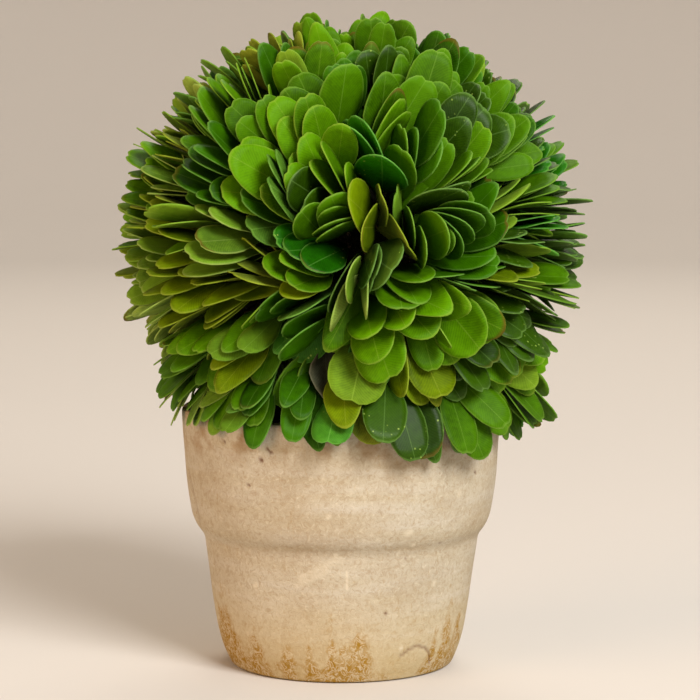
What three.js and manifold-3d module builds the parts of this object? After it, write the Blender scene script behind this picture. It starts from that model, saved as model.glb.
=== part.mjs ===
// A box topiary ball in its pot: preserved leafy sprigs set round a moss core, on a short stem in a clay pot.
// Millimetres, +Z up. The origin is the middle of the pot's flat underside, and the show side faces -Y.
import * as THREE from "three";
import { mergeVertices } from "three/addons/utils/BufferGeometryUtils.js";
import Module from "manifold-3d";

const wasm = await Module();
wasm.setup();

// ---- Driving dimensions ----

const CLEARANCE = 0.3; // between two pieces, where one rests on or in the other
const WELD = 0.01; // corners of a joined solid closer than this become one

const POT = {
  height: 81,
  footRadius: 33.8, // the flat underside that it stands on
  footBevel: { radius: 36.4, height: 3.8 },
  lowerWall: { radius: 38.4, height: 9.5 },
  shoulder: { radius: 39.9, height: 18 }, // the body is almost straight above it
  neck: { radius: 43.1, height: 41.5 }, // the step under the collar
  collarUnderside: { radius: 45.7, height: 45 },
  collarFoot: { radius: 47, height: 49 },
  collarMiddle: { radius: 49.1, height: 65 },
  rimRadius: 49.8,
  rimEase: 1.2, // how far the rim's edges are rounded off
  wall: 5,
  floor: 7,
  facets: 48,
};

const FILL = { edgeHeight: 75, seatHeight: 85, seatRadius: 12, facets: 32 };

const STEM = { footRadius: 7.5, flareRadius: 5.2, flareHeight: 5, tipRadius: 4.2, tipHeight: 108, sides: 12 };

const BALL = {
  centre: new THREE.Vector3(2.8, 0, 133.5),
  coreRadius: 41,
  coreDetail: 3,
  reach: 72.2, // from the centre to the leaf tips, level with it
  topDraw: 2, // how much less that is straight up
  skirtDrop: 8, // how much more it would be straight down
  reachSpread: 2,
};

// Sprigs over the ball, spread evenly from its top down to the lowest sine of their slope.
const SPRIGS = {
  count: 86,
  lowestSine: -0.52,
  sineSpread: 0.03,
  azimuthSpread: 0.14,
  fanTurnDegrees: 75, // how far a sprig's leaves may turn from lying level
};

// A ring of longer sprigs under them, whose leaves hang over the pot's rim.
const SKIRT = {
  count: 22,
  sine: -0.655,
  azimuthSpread: 0.056,
  fanTurnDegrees: 18,
  longer: 10,
  leafLength: 26,
  droopDegrees: 30,
};

const TWIG = { rootRadius: 1.9, sunk: 3, pastEndLeaf: 3, sides: 3 };

// Leaves along a sprig, the end one first: how far from the ball's centre they leave it, and how they lean.
const LEAF_PLACES = [
  { from: 51, leanDegrees: 3 },
  { from: 47, leanDegrees: -17 },
  { from: 47, leanDegrees: 17 },
  { from: 43, leanDegrees: -31 },
  { from: 43, leanDegrees: 31 },
];

const LEAF = {
  shortest: 18,
  aspect: 0.6, // width over length
  aspectSpread: 0.08,
  thickness: 0.9,
  ridgeAt: 0.34, // this and the next two are shares of its length
  widestAt: 0.62,
  stalk: 0.3,
  tipShare: 0.52, // the blunt tip's width over the widest
  air: 0.4, // between one blade and the next
  leanSpreadDegrees: 4,
  swayDegrees: 10,
  rollDegrees: 10,
  tries: 6,
  wilderEachTry: 0.8, // how much wider those three spreads grow at each new try
  neighbourhood: 28, // no two leaves touch whose middles are further apart
};

const SEED = 20771;
const GOLDEN_ANGLE = Math.PI * (3 - Math.sqrt(5));
const UP = new THREE.Vector3(0, 0, 1);

// ---- Small tools ----

// A number from 0 to 1 worked out from its keys alone, so that each sprig and leaf keeps its own.
function chance(...keys) {
  let hash = SEED;
  for (const key of keys) {
    hash = Math.imul(hash ^ (key + 0x9e3779b9), 0x85ebca6b);
    hash ^= hash >>> 13;
    hash = Math.imul(hash, 0xc2b2ae35);
    hash ^= hash >>> 16;
  }
  return (hash >>> 0) / 2 ** 32;
}

// The same from -1 to 1.
const spread = (...keys) => 2 * chance(...keys) - 1;

const radians = THREE.MathUtils.degToRad;

// A closed geometry as a solid that can be joined and cut.
function solidOf(geometry) {
  const bare = geometry.clone();
  bare.deleteAttribute("normal");
  bare.deleteAttribute("uv");
  const merged = mergeVertices(bare, 1e-4);
  const vertProperties = new Float32Array(merged.getAttribute("position").array);
  const triVerts = new Uint32Array(merged.index.array);
  return new wasm.Manifold(new wasm.Mesh({ numProp: 3, vertProperties, triVerts }));
}

// A joined solid's surface as a geometry, with each edge shorter than `WELD` closed up to a point.
function geometryOf(solid) {
  const { vertProperties, triVerts } = solid.getMesh();
  const corner = (vertex) => new THREE.Vector3().fromArray(vertProperties, 3 * vertex);
  const welded = Array.from({ length: vertProperties.length / 3 }, (_, vertex) => vertex);
  const keeper = (vertex) => (welded[vertex] === vertex ? vertex : keeper(welded[vertex]));
  const triangles = [];
  for (let i = 0; i < triVerts.length; i += 3) triangles.push([...triVerts.subarray(i, i + 3)]);
  for (const [a, b, c] of triangles) {
    for (const [from, to] of [[a, b], [b, c], [c, a]]) {
      if (corner(from).distanceTo(corner(to)) < WELD) welded[keeper(from)] = keeper(to);
    }
  }
  const kept = triangles.map((triangle) => triangle.map(keeper));
  const uncollapsed = kept.filter(([a, b, c]) => a !== b && b !== c && c !== a);
  const geometry = new THREE.BufferGeometry().setFromPoints(uncollapsed.flat().map(corner));
  geometry.computeVertexNormals();
  return geometry;
}

// Turns a profile of { radius, height } points, which starts and ends on the axis, about +Z.
function turned(profile, facets) {
  const points = profile.map(({ radius, height }) => new THREE.Vector2(radius, height));
  return new THREE.LatheGeometry(points, facets).rotateX(Math.PI / 2);
}

function namedMesh(name, geometry, color, roughness) {
  const mesh = new THREE.Mesh(geometry, new THREE.MeshStandardMaterial({ color, roughness, metalness: 0 }));
  mesh.name = name;
  return mesh;
}

// ---- Pot, fill and stem ----

// A bend of the pot's outside, carried through to its inner wall.
const inward = ({ radius, height }) => ({ radius: radius - POT.wall, height });

// The pot's outside from the middle of its underside to the rim's outer edge, thickened by `grown`.
function potOutside(grown = 0) {
  const bends = [POT.footBevel, POT.lowerWall, POT.shoulder, POT.neck];
  bends.push(POT.collarUnderside, POT.collarFoot, POT.collarMiddle);
  bends.push({ radius: POT.rimRadius, height: POT.height - POT.rimEase });
  return [
    { radius: 0, height: -grown },
    { radius: POT.footRadius + grown, height: -grown },
    ...bends.map(({ radius, height }) => ({ radius: radius + grown, height })),
    { radius: POT.rimRadius - POT.rimEase + grown, height: POT.height + grown },
  ];
}

function potGeometry() {
  const inside = [
    { radius: POT.rimRadius - POT.wall + POT.rimEase, height: POT.height },
    { radius: POT.rimRadius - POT.wall, height: POT.height - POT.rimEase },
    ...[POT.collarFoot, POT.neck, POT.shoulder].map(inward),
    { radius: POT.footRadius - POT.wall, height: POT.floor },
    { radius: 0, height: POT.floor },
  ];
  return turned([...potOutside(), ...inside], POT.facets);
}

// The dry fill lies against the inner wall, and carries the stem on a flat seat.
function fillGeometry() {
  const eased = ({ radius, height }) => ({ radius: radius - 2 * CLEARANCE, height });
  const collarShare = (FILL.edgeHeight - POT.collarFoot.height) / (POT.height - POT.collarFoot.height);
  const edgeRadius = THREE.MathUtils.lerp(POT.collarFoot.radius, POT.rimRadius, collarShare);
  const foot = POT.floor + CLEARANCE;
  const profile = [
    { radius: 0, height: foot },
    eased({ radius: POT.footRadius - POT.wall, height: foot }),
    ...[POT.shoulder, POT.neck, POT.collarFoot].map(inward).map(eased),
    eased(inward({ radius: edgeRadius, height: FILL.edgeHeight })),
    { radius: FILL.seatRadius, height: FILL.seatHeight },
    { radius: 0, height: FILL.seatHeight },
  ];
  return turned(profile, FILL.facets);
}

// The stem's flared foot is cut flat on the fill. Grown all round, it is the socket that the stem fits.
function stemGeometry(grown = 0) {
  const foot = FILL.seatHeight + CLEARANCE;
  const profile = [
    { radius: 0, height: foot - grown },
    { radius: STEM.footRadius + grown, height: foot - grown },
    { radius: STEM.flareRadius + grown, height: foot + STEM.flareHeight },
    { radius: STEM.tipRadius + grown, height: STEM.tipHeight + grown },
    { radius: 0, height: STEM.tipHeight + grown },
  ];
  return turned(profile, STEM.sides);
}

// ---- The clipped ball ----

// How far from the centre the leaf tips reach in a direction.
function reachAt(out) {
  const up = Math.max(0, out.z);
  const down = Math.max(0, -out.z);
  return BALL.reach - BALL.topDraw * up * up + BALL.skirtDrop * down;
}

// A sprig's axes: out along its twig, level round the ball, and the direction that its leaves fan in.
function sprigAxes(sprig) {
  const inSkirt = sprig >= SPRIGS.count;
  const { azimuthSpread, fanTurnDegrees } = inSkirt ? SKIRT : SPRIGS;
  const step = (sprig + 0.5) / SPRIGS.count;
  const evenSine = inSkirt ? SKIRT.sine : 1 - (1 - SPRIGS.lowestSine) * step;
  const evenAzimuth = inSkirt ? (2 * Math.PI * sprig) / SKIRT.count : sprig * GOLDEN_ANGLE;
  const sine = Math.min(0.999, evenSine + SPRIGS.sineSpread * spread(sprig, 1));
  const azimuth = evenAzimuth + azimuthSpread * spread(sprig, 2);
  const flat = Math.sqrt(1 - sine * sine);
  const out = new THREE.Vector3(flat * Math.cos(azimuth), flat * Math.sin(azimuth), sine);
  const level = new THREE.Vector3().crossVectors(UP, out).normalize();
  const turn = radians(fanTurnDegrees) * spread(sprig, 3);
  const fan = new THREE.Vector3().crossVectors(out, level).applyAxisAngle(out, turn);
  return { sprig, inSkirt, out, level, fan, longer: inSkirt ? SKIRT.longer : 0 };
}

// A sprig's twig: a three-sided spike rooted in the core, which ends just inside the end leaf.
function twigSolid({ out, fan, longer }) {
  const tip = LEAF_PLACES[0].from + TWIG.pastEndLeaf + longer;
  const root = BALL.coreRadius - TWIG.sunk;
  const across = new THREE.Vector3().crossVectors(fan, out);
  const middle = BALL.centre.clone().addScaledVector(out, (root + tip) / 2);
  const stand = new THREE.Matrix4().makeBasis(fan, out, across).setPosition(middle);
  return solidOf(new THREE.ConeGeometry(TWIG.rootRadius, tip - root, TWIG.sides).applyMatrix4(stand));
}

// Where one leaf of a sprig lies. Each new try leans, sways and rolls it more freely than the last.
function leafPose({ sprig, inSkirt, out, level, fan, longer }, place, attempt) {
  const keys = [sprig, place, attempt];
  const wilder = 1 + LEAF.wilderEachTry * attempt;
  const { from, leanDegrees } = LEAF_PLACES[place];
  const lean = radians(leanDegrees + LEAF.leanSpreadDegrees * wilder * spread(...keys, 1));
  const sway = radians(LEAF.swayDegrees * wilder * spread(...keys, 2));
  const roll = radians(LEAF.rollDegrees * wilder * spread(...keys, 3));
  const across = new THREE.Vector3().crossVectors(fan, out);
  const turn = new THREE.Quaternion()
    .setFromAxisAngle(level, inSkirt ? radians(SKIRT.droopDegrees) : 0)
    .multiply(new THREE.Quaternion().setFromAxisAngle(across, -lean))
    .multiply(new THREE.Quaternion().setFromAxisAngle(fan, sway));
  const along = out.clone().applyQuaternion(turn);
  const facing = fan.clone().applyQuaternion(turn).applyAxisAngle(along, roll);
  const root = from + longer;
  const reach = reachAt(out) + BALL.reachSpread * spread(...keys, 4);
  const length = inSkirt ? SKIRT.leafLength : Math.max(LEAF.shortest, (reach - root) / Math.cos(lean));
  return {
    root: BALL.centre.clone().addScaledVector(out, root),
    along,
    facing,
    side: new THREE.Vector3().crossVectors(facing, along),
    length,
    width: length * (LEAF.aspect + LEAF.aspectSpread * spread(...keys, 5)),
  };
}

// A leaf from its pointed root to its blunt tip, thickest at one point of each face.
function leafSolid({ root, along, facing, side, length, width }, stalk = 0, thickness = LEAF.thickness) {
  const at = (share, sideways, off) =>
    root
      .clone()
      .addScaledVector(along, share * length)
      .addScaledVector(side, sideways * width)
      .addScaledVector(facing, off * thickness);
  const outline = [
    at(stalk, 0, 0),
    at(LEAF.widestAt, 0.5, 0),
    at(1, 0.5 * LEAF.tipShare, 0),
    at(1, -0.5 * LEAF.tipShare, 0),
    at(LEAF.widestAt, -0.5, 0),
  ];
  const ridge = Math.max(LEAF.ridgeAt, 1.5 * stalk);
  const top = at(ridge, 0, 0.5);
  const underside = at(ridge, 0, -0.5);
  const corners = outline.flatMap((corner, i) => {
    const next = outline[(i + 1) % outline.length];
    return [top, next, corner, underside, corner, next];
  });
  return solidOf(new THREE.BufferGeometry().setFromPoints(corners));
}

// The leaves that find room. They are dealt out place by place, so that every side of the ball is as full.
function leavesWithRoom(sprigs, keepOut) {
  const leaves = [];
  const isClearOf = (leaf, other) =>
    leaf.middle.distanceTo(other.middle) > LEAF.neighbourhood || leaf.blade.intersect(other.blade).isEmpty();
  const hasRoom = (leaf) =>
    keepOut.intersect(leaf.blade).isEmpty() && leaves.every((other) => isClearOf(leaf, other));
  for (let place = 0; place < LEAF_PLACES.length; place++) {
    for (const sprig of sprigs) {
      for (let attempt = 0; attempt < LEAF.tries; attempt++) {
        const pose = leafPose(sprig, place, attempt);
        const middle = pose.root.clone().addScaledVector(pose.along, pose.length / 2);
        const blade = leafSolid(pose, LEAF.stalk, LEAF.thickness + LEAF.air);
        if (hasRoom({ middle, blade })) {
          leaves.push({ middle, blade, solid: leafSolid(pose) });
          break;
        }
      }
    }
  }
  return leaves.map(({ solid }) => solid);
}

function ballGeometry() {
  const { x, y, z } = BALL.centre;
  const core = solidOf(new THREE.IcosahedronGeometry(BALL.coreRadius, BALL.coreDetail).translate(x, y, z));
  const sprigs = Array.from({ length: SPRIGS.count + SKIRT.count }, (_, sprig) => sprigAxes(sprig));
  const mound = [FILL.seatRadius, 0].map((radius) => ({ radius, height: FILL.seatHeight + 2 * CLEARANCE }));
  const potKeepOut = solidOf(turned([...potOutside(2 * CLEARANCE), ...mound], POT.facets));
  const grown = wasm.Manifold.union([core, ...sprigs.map(twigSolid), ...leavesWithRoom(sprigs, potKeepOut)]);
  return geometryOf(grown.subtract(solidOf(stemGeometry(CLEARANCE))));
}

// ---- The whole plant ----

const plant = new THREE.Group();
plant.add(namedMesh("pot", potGeometry(), 0xd9c4a4, 0.9));
plant.add(namedMesh("pot_fill", fillGeometry(), 0x4a4326, 1));
plant.add(namedMesh("stem", stemGeometry(), 0x6b5236, 0.85));
plant.add(namedMesh("foliage_ball", ballGeometry(), 0x3f6316, 0.55));

export default plant;
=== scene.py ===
"""Dresses a small preserved box topiary: a ball of layered leaves on a short stem, in a whitewashed clay pot.

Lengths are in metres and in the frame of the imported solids, and the dataclasses give sizes in millimetres.
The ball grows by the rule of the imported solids: sprigs stand all round a core, each fans its leaves from a
twig, and a leaf that would cross another or the pot is skipped. Here the rule goes on to more sprigs and
thinner leaves.
"""

import logging
import math
from dataclasses import dataclass, field
from enum import Enum, IntEnum
from functools import cached_property

import bpy
import numpy as np
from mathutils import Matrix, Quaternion, Vector, noise
from mathutils.bvhtree import BVHTree


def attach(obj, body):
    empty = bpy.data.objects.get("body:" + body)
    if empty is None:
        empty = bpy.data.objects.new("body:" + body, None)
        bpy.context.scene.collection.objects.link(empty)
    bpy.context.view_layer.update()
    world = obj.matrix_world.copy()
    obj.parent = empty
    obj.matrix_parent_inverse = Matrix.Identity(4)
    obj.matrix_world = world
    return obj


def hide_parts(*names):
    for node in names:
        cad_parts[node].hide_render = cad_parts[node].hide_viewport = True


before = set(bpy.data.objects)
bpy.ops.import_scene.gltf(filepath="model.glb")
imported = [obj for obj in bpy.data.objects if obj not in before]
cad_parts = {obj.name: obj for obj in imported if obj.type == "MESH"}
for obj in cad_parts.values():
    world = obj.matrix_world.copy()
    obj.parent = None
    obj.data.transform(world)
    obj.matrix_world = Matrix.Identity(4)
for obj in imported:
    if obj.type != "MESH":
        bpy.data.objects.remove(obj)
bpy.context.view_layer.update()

LOG = logging.getLogger("topiary")
MM = 0.001
UP = Vector((0.0, 0.0, 1.0))
GOLDEN_ANGLE = math.pi * (3 - math.sqrt(5))
SEED = 20771
# Edges that turn by more than this stay sharp.
SHARP_DEGREES = 40
# The slot of a leaf's cut edge, after its upper and under faces.
EDGE_SLOT = 2


class Node(Enum):
    """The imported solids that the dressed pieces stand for."""

    POT = "pot"
    FILL = "pot_fill"
    STEM = "stem"
    BALL = "foliage_ball"


class Slot(Enum):
    """The record's material slots."""

    CLAY = "clay"
    MOSS = "moss"
    BARK = "bark"
    LEAF = "leaf"


class SprigKind(Enum):
    """Where a sprig stands: all over the ball, in the heart of its whorl, or in the skirt over the rim."""

    BALL = "ball"
    HEART = "heart"
    SKIRT = "skirt"


class SprigDraw(IntEnum):
    """What is drawn for a sprig, as the last key of its chance."""

    SINE = 1
    AZIMUTH = 2
    TURN = 3
    LEAN = 4
    UP_TURN = 5
    LYING_BACK = 6
    SWAY = 7
    WIDTH = 8
    TWIG_BOW = 60
    TINT = 71
    BROWNED = 72
    FOLD = 91
    CUP = 92
    ARCH = 93


class LeafDraw(IntEnum):
    """What is drawn for each try of a leaf, as the last key of its chance."""

    LEAN = 1
    SWAY = 2
    ROLL = 3
    REACH = 4
    ASPECT = 5
    LENGTH = 6
    FOLD = 7
    ARCH = 8
    TWIST = 9
    WAVE = 10
    PHASE = 11
    CUT = 12
    DYE = 13
    WAVY = 14
    OVERTURNED = 15


# ---- Numbers ----


def chance(*keys: int) -> float:
    """Work out a number from 0 to 1 from its keys alone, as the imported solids' rule does.

    Args:
        keys: Whole numbers that name the sprig, the leaf and what is asked of it.

    Returns:
        The same number for the same keys in each run.
    """
    mask = 0xFFFFFFFF
    mixed = SEED
    for key in keys:
        mixed = ((mixed ^ ((key + 0x9E3779B9) & mask)) * 0x85EBCA6B) & mask
        mixed ^= mixed >> 13
        mixed = (mixed * 0xC2B2AE35) & mask
        mixed ^= mixed >> 16
    return mixed / 2**32


def spread(*keys: int) -> float:
    """Give the same as chance, from -1 to 1."""
    return 2 * chance(*keys) - 1


def ease(low: float, high: float, value: float | np.ndarray) -> float | np.ndarray:
    """Ease from 0 at low to 1 at high.

    Args:
        low: Where it starts.
        high: Where it ends.
        value: A number or an array.

    Returns:
        The eased share, of the same shape as the value.
    """
    share = np.clip((value - low) / (high - low), 0.0, 1.0)
    return share * share * (3 - 2 * share)


def per_metre(millimetres: float) -> float:
    """Give the texture scale whose pattern repeats about every so many millimetres."""
    return 1 / (millimetres * MM)


def ripples(corners: np.ndarray, layers: tuple[tuple[float, float], ...]) -> np.ndarray:
    """Add up layers of noise.

    Args:
        corners: Where, in metres.
        layers: For each layer how strong it is, and how wide its lumps are in millimetres.

    Returns:
        The sum at each corner.
    """
    sums = []
    for corner in corners:
        place = Vector(corner)
        sums.append(sum(strong * noise.noise(place * per_metre(wide)) for strong, wide in layers))
    return np.array(sums)


# ---- Modelling tools ----


def deselect_all() -> None:
    """Leave nothing selected, so that an operator acts only on what is added next."""
    bpy.ops.object.select_all(action="DESELECT")


def select_only(piece: bpy.types.Object) -> None:
    """Make one piece the only selected one, and the active one."""
    deselect_all()
    piece.select_set(True)
    bpy.context.view_layer.objects.active = piece


def finish_piece(piece: bpy.types.Object, node: Node) -> None:
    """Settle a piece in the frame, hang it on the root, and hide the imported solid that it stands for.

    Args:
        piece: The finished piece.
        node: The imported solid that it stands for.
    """
    select_only(piece)
    bpy.ops.object.transform_apply(location=True, rotation=True, scale=True)
    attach(piece, "root")
    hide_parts(node.value)
    LOG.info("%s: %d faces", piece.name, len(piece.data.polygons))


def corners_of(mesh: bpy.types.Mesh) -> np.ndarray:
    """Read a mesh's corners as rows of three."""
    flat = np.zeros(len(mesh.vertices) * 3)
    mesh.vertices.foreach_get("co", flat)
    return flat.reshape(-1, 3)


def set_corners(mesh: bpy.types.Mesh, corners: np.ndarray) -> None:
    """Move a mesh's corners to new places."""
    mesh.vertices.foreach_set("co", corners.astype(np.float32).ravel())
    mesh.update()


def joined_mesh(
    name: str,
    corners: np.ndarray,
    quads: np.ndarray,
    materials: list[bpy.types.Material],
    slots: np.ndarray,
    smooth: np.ndarray,
) -> bpy.types.Object:
    """Make one joined piece from arrays.

    Args:
        name: The piece's name.
        corners: Its corners, in metres.
        quads: The four corners of each face.
        materials: Its materials.
        slots: Which of them each face takes.
        smooth: Whether each face is shaded smooth.

    Returns:
        The new object.
    """
    mesh = bpy.data.meshes.new(name)
    mesh.vertices.add(len(corners))
    mesh.vertices.foreach_set("co", corners.astype(np.float32).ravel())
    mesh.loops.add(quads.size)
    mesh.loops.foreach_set("vertex_index", quads.astype(np.int32).ravel())
    mesh.polygons.add(len(quads))
    mesh.polygons.foreach_set("loop_start", np.arange(0, quads.size, 4, dtype=np.int32))
    mesh.polygons.foreach_set("material_index", slots.astype(np.int32))
    mesh.polygons.foreach_set("use_smooth", smooth)
    for material in materials:
        mesh.materials.append(material)
    mesh.update(calc_edges=True)
    piece = bpy.data.objects.new(name, mesh)
    bpy.context.scene.collection.objects.link(piece)
    return piece


def round_plate(name: str, radius: float, height: float, segments: int) -> bpy.types.Object:
    """Add a round plate, and stay in edit mode with its rim selected.

    Args:
        name: The piece's name.
        radius: Its radius in metres.
        height: Its height in metres.
        segments: How many sides it has.

    Returns:
        The new object.
    """
    deselect_all()
    bpy.ops.mesh.primitive_circle_add(
        vertices=segments, radius=radius, fill_type="NGON", location=(0, 0, height), calc_uvs=False
    )
    piece = bpy.context.object
    piece.name = name
    bpy.ops.object.transform_apply(location=True)
    bpy.ops.object.mode_set(mode="EDIT")
    bpy.ops.mesh.select_mode(type="EDGE")
    bpy.ops.mesh.region_to_loop()
    return piece


def extrude_rings(rings: list[tuple[float, float]]) -> None:
    """Extrude the selected round rim ring by ring.

    Args:
        rings: Radius and height in metres of the rim itself, then of each new ring.
    """
    for (radius, height), (next_radius, next_height) in zip(rings, rings[1:]):
        bpy.ops.mesh.extrude_edges_move(TRANSFORM_OT_translate={"value": (0, 0, next_height - height)})
        scale = next_radius / radius
        bpy.ops.transform.resize(value=(scale, scale, 1), center_override=(0, 0, next_height))


def turned(name: str, profile: list[tuple[float, float]], segments: int) -> bpy.types.Object:
    """Turn a closed shell: a round plate is extruded ring by ring along the profile, and closed at the end.

    Args:
        name: The piece's name.
        profile: Radius and height in metres, from the underside's edge round to the last ring.
        segments: How many sides the rings have.

    Returns:
        The new object, smooth, with its faces outwards.
    """
    piece = round_plate(name, *profile[0], segments)
    extrude_rings(profile)
    bpy.ops.mesh.edge_face_add()
    bpy.ops.mesh.select_all(action="SELECT")
    bpy.ops.mesh.normals_make_consistent(inside=False)
    bpy.ops.object.mode_set(mode="OBJECT")
    bpy.ops.object.shade_smooth_by_angle(angle=math.radians(SHARP_DEGREES))
    return piece


def rounded(
    corners: list[tuple[float, float, float]],
    steps: int,
    spacing: float,
    leads_to: tuple[float, float, float] | None = None,
) -> list[tuple[float, float]]:
    """Round off the corners of a profile and part its straight runs.

    Args:
        corners: Radius, height and how far the corner is rounded off, in millimetres.
        steps: How many points each rounded corner gets.
        spacing: The longest straight run in millimetres.
        leads_to: The corner that comes after the last one, where that one is rounded off too.

    Returns:
        The profile as radius and height, in metres.
    """
    points: list[np.ndarray] = []
    for index, (radius, height, ease_off) in enumerate(corners):
        here = np.array((radius, height))
        if ease_off == 0:
            points.append(here)
            continue
        before = np.array(corners[max(0, index - 1)][:2]) - here
        after = np.array((corners[index + 1] if index + 1 < len(corners) else leads_to)[:2]) - here
        before = before if index else -after
        start = here + before / np.linalg.norm(before) * ease_off
        end = here + after / np.linalg.norm(after) * ease_off
        for t in np.linspace(0, 1, steps):
            points.append((1 - t) ** 2 * start + 2 * t * (1 - t) * here + t * t * end)
    profile = [points[0]]
    for point in points[1:]:
        parts = max(1, math.ceil(np.linalg.norm(point - profile[-1]) / spacing))
        last = profile[-1]
        profile += [last + (point - last) * (part / parts) for part in range(1, parts + 1)]
    return [(float(radius) * MM, float(height) * MM) for radius, height in profile]


def tubes(paths: np.ndarray, radii: np.ndarray, sides: int) -> tuple[np.ndarray, np.ndarray]:
    """Sweep many closed tubes at once.

    Args:
        paths: For each tube the points of its middle line, in metres.
        radii: The radius at each of those points.
        sides: How many sides each tube has, an even number.

    Returns:
        Corners and quads of all the tubes.
    """
    count, rings, _ = paths.shape
    along = paths[:, -1] - paths[:, 0]
    along /= np.linalg.norm(along, axis=1, keepdims=True)
    helper = np.where(np.abs(along[:, 2:3]) > 0.9, [[1.0, 0.0, 0.0]], [[0.0, 0.0, 1.0]])
    first = np.cross(along, helper)
    first /= np.linalg.norm(first, axis=1, keepdims=True)
    second = np.cross(along, first)
    turns = np.arange(sides) * 2 * math.pi / sides
    ring = np.cos(turns)[None, :, None] * first[:, None] + np.sin(turns)[None, :, None] * second[:, None]
    corners = paths[:, :, None] + ring[:, None] * radii[:, :, None, None]
    own = [
        (r * sides + s, r * sides + (s + 1) % sides, (r + 1) * sides + (s + 1) % sides, (r + 1) * sides + s)
        for r in range(rings - 1)
        for s in range(sides)
    ]
    last = (rings - 1) * sides
    for s in range(1, sides - 1, 2):
        own.append((0, s + 2, s + 1, s))
        own.append((last, last + s, last + s + 1, last + s + 2))
    quads = np.array(own)[None] + (np.arange(count) * rings * sides)[:, None, None]
    return corners.reshape(-1, 3), quads.reshape(-1, 4)


# ---- Material tools ----


def linear(hex_colour: str) -> tuple[float, float, float, float]:
    """Turn an sRGB hex colour into the linear one that a shader takes."""
    channels = [int(hex_colour[i : i + 2], 16) / 255 for i in (1, 3, 5)]
    red, green, blue = (c / 12.92 if c <= 0.04045 else ((c + 0.055) / 1.055) ** 2.4 for c in channels)
    return red, green, blue, 1.0


def add_node(
    tree: bpy.types.NodeTree, kind: str, inputs: dict[str | int, object] | None = None, **settings: object
) -> bpy.types.Node:
    """Add a node with its settings, its plain values and its links.

    Args:
        tree: The material's node tree.
        kind: The node's type, without its ShaderNode prefix.
        inputs: For each socket its value, or what feeds it: an output, or a node for its first output in use.
        settings: The node's own settings.

    Returns:
        The node.
    """
    node = tree.nodes.new(f"ShaderNode{kind}")
    for name, value in settings.items():
        setattr(node, name, value)
    for socket, value in (inputs or {}).items():
        if isinstance(value, bpy.types.Node):
            value = next(output for output in value.outputs if output.enabled)
        if isinstance(value, bpy.types.NodeSocket):
            tree.links.new(value, node.inputs[socket])
        else:
            node.inputs[socket].default_value = value
    return node


def bare_material(name: str) -> bpy.types.Material:
    """Start a material with an empty tree."""
    material = bpy.data.materials.new(name)
    material.use_nodes = True
    material.node_tree.nodes.clear()
    return material


# ---- Finishes ----


# A coat laid over a finish: where it shows, and its colour.
Coat = tuple[bpy.types.Node | bpy.types.NodeSocket, str]


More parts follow.
